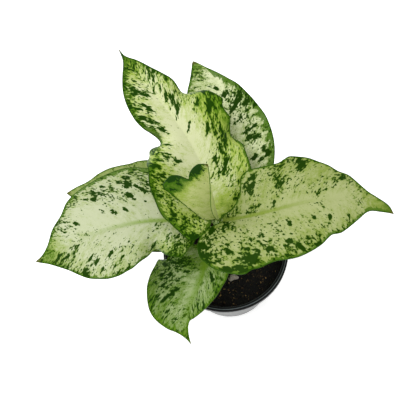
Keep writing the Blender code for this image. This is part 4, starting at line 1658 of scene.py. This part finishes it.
FINISHES = {
    "leaf_centre": LeafFinish(
        heart=(214, 219, 172), fresh=(162, 183, 78), green=(82, 122, 16), dark=(20, 58, 0),
        edge=(52, 92, 14), rib=(190, 200, 140), seed=3.0, crowd=0.42, edge_crowd=0.35, edge_reach=8.0,
        lush=0.3, edge_lush=0.5, border=(3.2, 2.4), rib_end=0.3, sweep=0.9, slant=0.8,
        patches={
            Field.CLEAR: ((88, 1, 26, 10, 0.9), (58, 4, 24, 22, 0.9)),
            # The lush patch at s 14, t -12 greens the smooth bowl at the blade's base, beside the young leaf:
            # painted shade where the right leaf's lobe shadows it
            Field.LUSH: (
                (170, 0, 20, 20, 1.5), (80, -33, 28, 18, 0.7), (58, 36, 26, 14, 0.5),
                (36, -26, 24, 14, 0.3), (6, 30, 40, 20, 0.5), (14, -12, 18, 12, 0.4),
            ),
            Field.FLECKED: (
                (172, 0, 12, 12, 0.6), (135, 2, 30, 24, 0.1), (132, 14, 22, 8, 0.2), (128, -6, 14, 7, 0.15),
                (88, -40, 20, 8, 0.3), (63, -33, 16, 9, -0.2), (60, 38, 26, 9, 0.1), (5, 38, 36, 14, -0.05),
                (40, -17, 22, 12, 0.5), (12, -7, 16, 9, -1.2), (-2, 20, 16, 12, 0.25),
                (22, 34, 20, 12, 0.2),
            ),
            Field.BORDER: ((110, 24, 30, 20, 0.8), (145, 12, 26, 14, 1.6), (62, 44, 24, 12, 0.6)),
        },
        blotches=(
            (135, 6, 3, 3), (132, -8, 5, 3), (125, 12, 6, 4), (125, -8, 4, 3), (119, 7, 7, 6),
            (115, -7, 4, 3), (110, 13, 7, 6), (110, 19, 5, 4), (109, -7, 6, 4), (105, 12, 5, 4),
            (102, -9, 10, 6), (102, 22, 8, 6), (93, -7, 9, 4), (93, 15, 4, 3), (98, 20, 6, 4),
            (87, 15, 6, 6), (94, -35, 8, 6), (88, -23, 6, 4), (84, -32, 8, 6), (79, -28, 8, 6),
            (75, -5, 6, 3), (68, -19, 6, 5), (63, -26, 6, 3), (56, -29, 9, 4), (51, -21, 8, 5),
            (45, -13, 5, 4), (39, -19, 10, 6), (73, 18, 6, 4), (66, 23, 4, 3), (65, 32, 7, 4),
            (63, 39, 7, 6), (56, 19, 5, 4), (34, 44, 7, 5), (7, 34, 7, 5),
        ),
    ),
    "leaf_right": LeafFinish(
        heart=(172, 180, 124), fresh=(136, 154, 68), green=(80, 112, 20), dark=(22, 56, 0),
        edge=(66, 106, 22), rib=(132, 152, 58), seed=11.0, crowd=0.42, edge_crowd=0.25, edge_reach=10.0,
        lush=0.25, edge_lush=0.4, border=(1.6, 2.4), rib_width=2.6, rib_end=0.75,
        patches={
            Field.FLECKED: (
                (70, 27, 26, 7, 0.15), (80, -2, 30, 14, -0.35), (92, 27, 20, 8, -0.3),
                (-4, -22, 14, 13, 0.6), (44, 18, 12, 9, -0.4), (134, 0, 20, 14, -0.9),
            ),
            Field.CLEAR: ((70, -2, 30, 10, 0.5),),
            Field.LUSH: ((141, 2, 11, 12, 1.3),),
        },
        blotches=(
            (32, 30, 8, 6), (29, 22, 10, 8), (24, 25, 6, 5), (53, 19, 8, 6), (72, 30, 10, 6),
            (71, 37, 6, 5), (45, 5, 5, 3), (22, -39, 12, 9), (17, -46, 8, 6), (10, -45, 7, 4),
            (56, -35, 7, 6), (50, -29, 7, 5), (-7, -11, 9, 7), (9, -30, 6, 4), (27, -32, 5, 4),
            (36, -33, 8, 5), (53, -14, 5, 4), (73, -14, 4, 3), (85, -15, 4, 3), (101, -15, 5, 3),
            (90, -27, 5, 3), (107, -21, 4, 3),
        ),
    ),
    "leaf_left": LeafFinish(
        heart=(196, 203, 166), fresh=(152, 170, 92), green=(82, 118, 22), dark=(22, 56, 0),
        edge=(66, 106, 20), rib=(130, 160, 60), seed=19.0, crowd=0.36, edge_crowd=0.4, edge_reach=10.0,
        lush=0.15, edge_lush=0.5, border=(2.0, 3.0), rib_width=3.8, rib_end=0.9, sweep=0.45,
        patches={
            Field.CLEAR: ((62, 12, 30, 10, 0.7), (76, -14, 26, 16, 0.8), (36, -12, 26, 12, 0.6)),
            Field.FLECKED: (
                (52, -42, 26, 10, 0.5), (66, 24, 10, 9, -0.5), (75, 28, 40, 12, 0.15),
                (100, -20, 18, 10, 0.35), (12, 20, 20, 14, 0.05),
            ),
            Field.BORDER: ((46, -52, 30, 14, 2.6),),
            Field.LUSH: ((12, 26, 24, 22, 0.45), (128, 0, 14, 12, 0.9)),
        },
        blotches=(
            (78, -42, 6, 5), (85, -37, 4, 4), (78, -33, 5, 5), (71, -46, 5, 4), (69, -39, 4, 3),
            (56, -45, 5, 4), (50, -50, 5, 4), (49, -42, 8, 5), (52, -37, 5, 4), (49, -28, 9, 5),
            (44, -37, 6, 4), (40, -31, 6, 4), (74, -20, 6, 3), (64, -15, 6, 4), (55, -15, 4, 3),
            (38, -20, 3, 3), (73, 26, 6, 4), (90, 23, 5, 4), (86, 27, 6, 5), (63, 32, 4, 3), (81, 35, 5, 3),
            (109, 11, 4, 3), (108, -12, 4, 3), (97, -16, 5, 3), (33, 22, 8, 4), (20, 16, 6, 4),
            (56, 19, 3, 3),
        ),
    ),
    "leaf_back": LeafFinish(
        heart=(222, 228, 184), fresh=(146, 168, 88), green=(80, 116, 28), dark=(20, 54, 0),
        edge=(54, 102, 0), rib=(168, 182, 118), seed=27.0, crowd=0.42, edge_crowd=0.35, edge_reach=10.0,
        lush=0.3, edge_lush=0.6, border=(3.0, 5.2), rib_end=0.3, sweep=0.6, streaky=0.15, slant=0.35,
        patches={
            Field.CLEAR: ((111, 0, 12, 7, 0.9),),
            Field.FLECKED: ((86, -12, 14, 12, 0.4),),
            Field.LUSH: ((138, 4, 9, 9, 1.0),),
        },
        blotches=(
            (104, 4, 4, 4), (96, -2, 8, 6), (84, -8, 11, 10), (73, -10, 6, 4), (61, -16, 9, 4),
            (55, -17, 6, 5), (64, -20, 5, 3), (55, -23, 6, 4), (39, -22, 5, 4), (38, -27, 5, 4),
            (107, 8, 3, 3), (47, -29, 5, 4), (81, -24, 5, 4), (85, -18, 8, 7), (91, -13, 8, 5),
            (43, -33, 6, 5),
        ),
    ),
    "leaf_front": LeafFinish(
        heart=(170, 186, 134), fresh=(100, 132, 42), green=(62, 102, 18), dark=(18, 52, 0),
        edge=(94, 132, 24), rib=(108, 144, 34), seed=36.0, crowd=0.58, edge_crowd=0.1, edge_reach=12.0,
        lush=0.4, edge_lush=0.5, border=(2.2, 3.0), rib_width=6.5, rib_end=1.1, sweep=0.5, streaky=0.7,
        patches={
            Field.CLEAR: ((45, -4, 26, 8, 0.6), (34, -18, 12, 9, 0.5)),
            # The patches at s 3, t -10 clear the flecks and pale the ground at the blade's base: painted
            # light, lifting it out of the shade of the leaves above
            Field.FLECKED: ((24, -28, 18, 12, 0.5), (12, -16, 14, 10, 0.5), (3, -10, 8, 9, -0.9)),
            Field.LUSH: ((18, -14, 14, 12, 0.8), (3, -10, 8, 9, -0.5), (48, -10, 12, 8, 0.5)),
        },
        blotches=(
            (59, -27, 7, 5), (49, -18, 7, 4), (66, -19, 6, 4), (71, -10, 6, 4), (40, -29, 9, 6),
            (40, -21, 6, 4), (57, 4, 5, 3), (44, -40, 7, 5), (47, 15, 6, 4), (51, -33, 6, 5),
            (26, 14, 8, 5), (54, -20, 5, 3), (66, -2, 4, 3), (29, -38, 9, 7),
        ),
    ),
    "leaf_under": LeafFinish(
        heart=(160, 173, 108), fresh=(122, 146, 68), green=(84, 116, 38), dark=(24, 58, 10),
        edge=(104, 132, 58), rib=(124, 146, 60), seed=43.0, crowd=0.1, edge_crowd=0.2, lush=0.2,
        edge_lush=0.3, border=(1.4, 1.4),
    ),
    "leaf_young": LeafFinish(
        heart=(204, 211, 142), fresh=(160, 182, 78), green=(62, 106, 4), dark=(16, 58, 0), edge=(34, 80, 4),
        rib=(172, 184, 110), seed=51.0, crowd=-0.3, edge_crowd=0.5, edge_reach=6.0, lush=0.15,
        edge_lush=0.3, border=(0.5, 0.1), line=0.3, rib_end=0.3, sweep=0.2,
        patches={
            Field.BORDER: ((61, 29, 9, 13, 4.6), (68, 11, 9, 8, 5.5)),
            Field.LUSH: ((57, 26, 11, 10, 2.4), (68, 10, 9, 6, 2.4)),
            Field.FLECKED: ((62, 27, 6, 9, 1.5), (69, 9, 7, 7, 2.3)),
        },
        blotches=((55, 22, 5, 4), (61, 25, 6, 5), (50, 27, 5, 4), (67, 9, 7, 4)),
    ),
}


def main() -> None:
    """Builds the plant and its surroundings in order."""
    logging.basicConfig(level=logging.INFO, format="%(message)s")
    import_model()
    pot = Pot(PotFinish())
    makers: list[Callable[[], bpy.types.Object]] = [pot.build]
    makers += [Soil(SoilFinish(), pot).build, Cane(CaneFinish()).build]
    for leaf in LEAVES:
        makers.append(LeafBlade(leaf, FINISHES[leaf.name]).build)
        makers.append(Stalk(leaf, STALKS[leaf.name], StalkFinish()).build)
    for make in makers:
        piece = make()
        LOG.info("%s: %d faces", piece.name, len(piece.data.polygons))
    Studio(FloorFinish()).build()


if __name__ == "__main__":
    main()
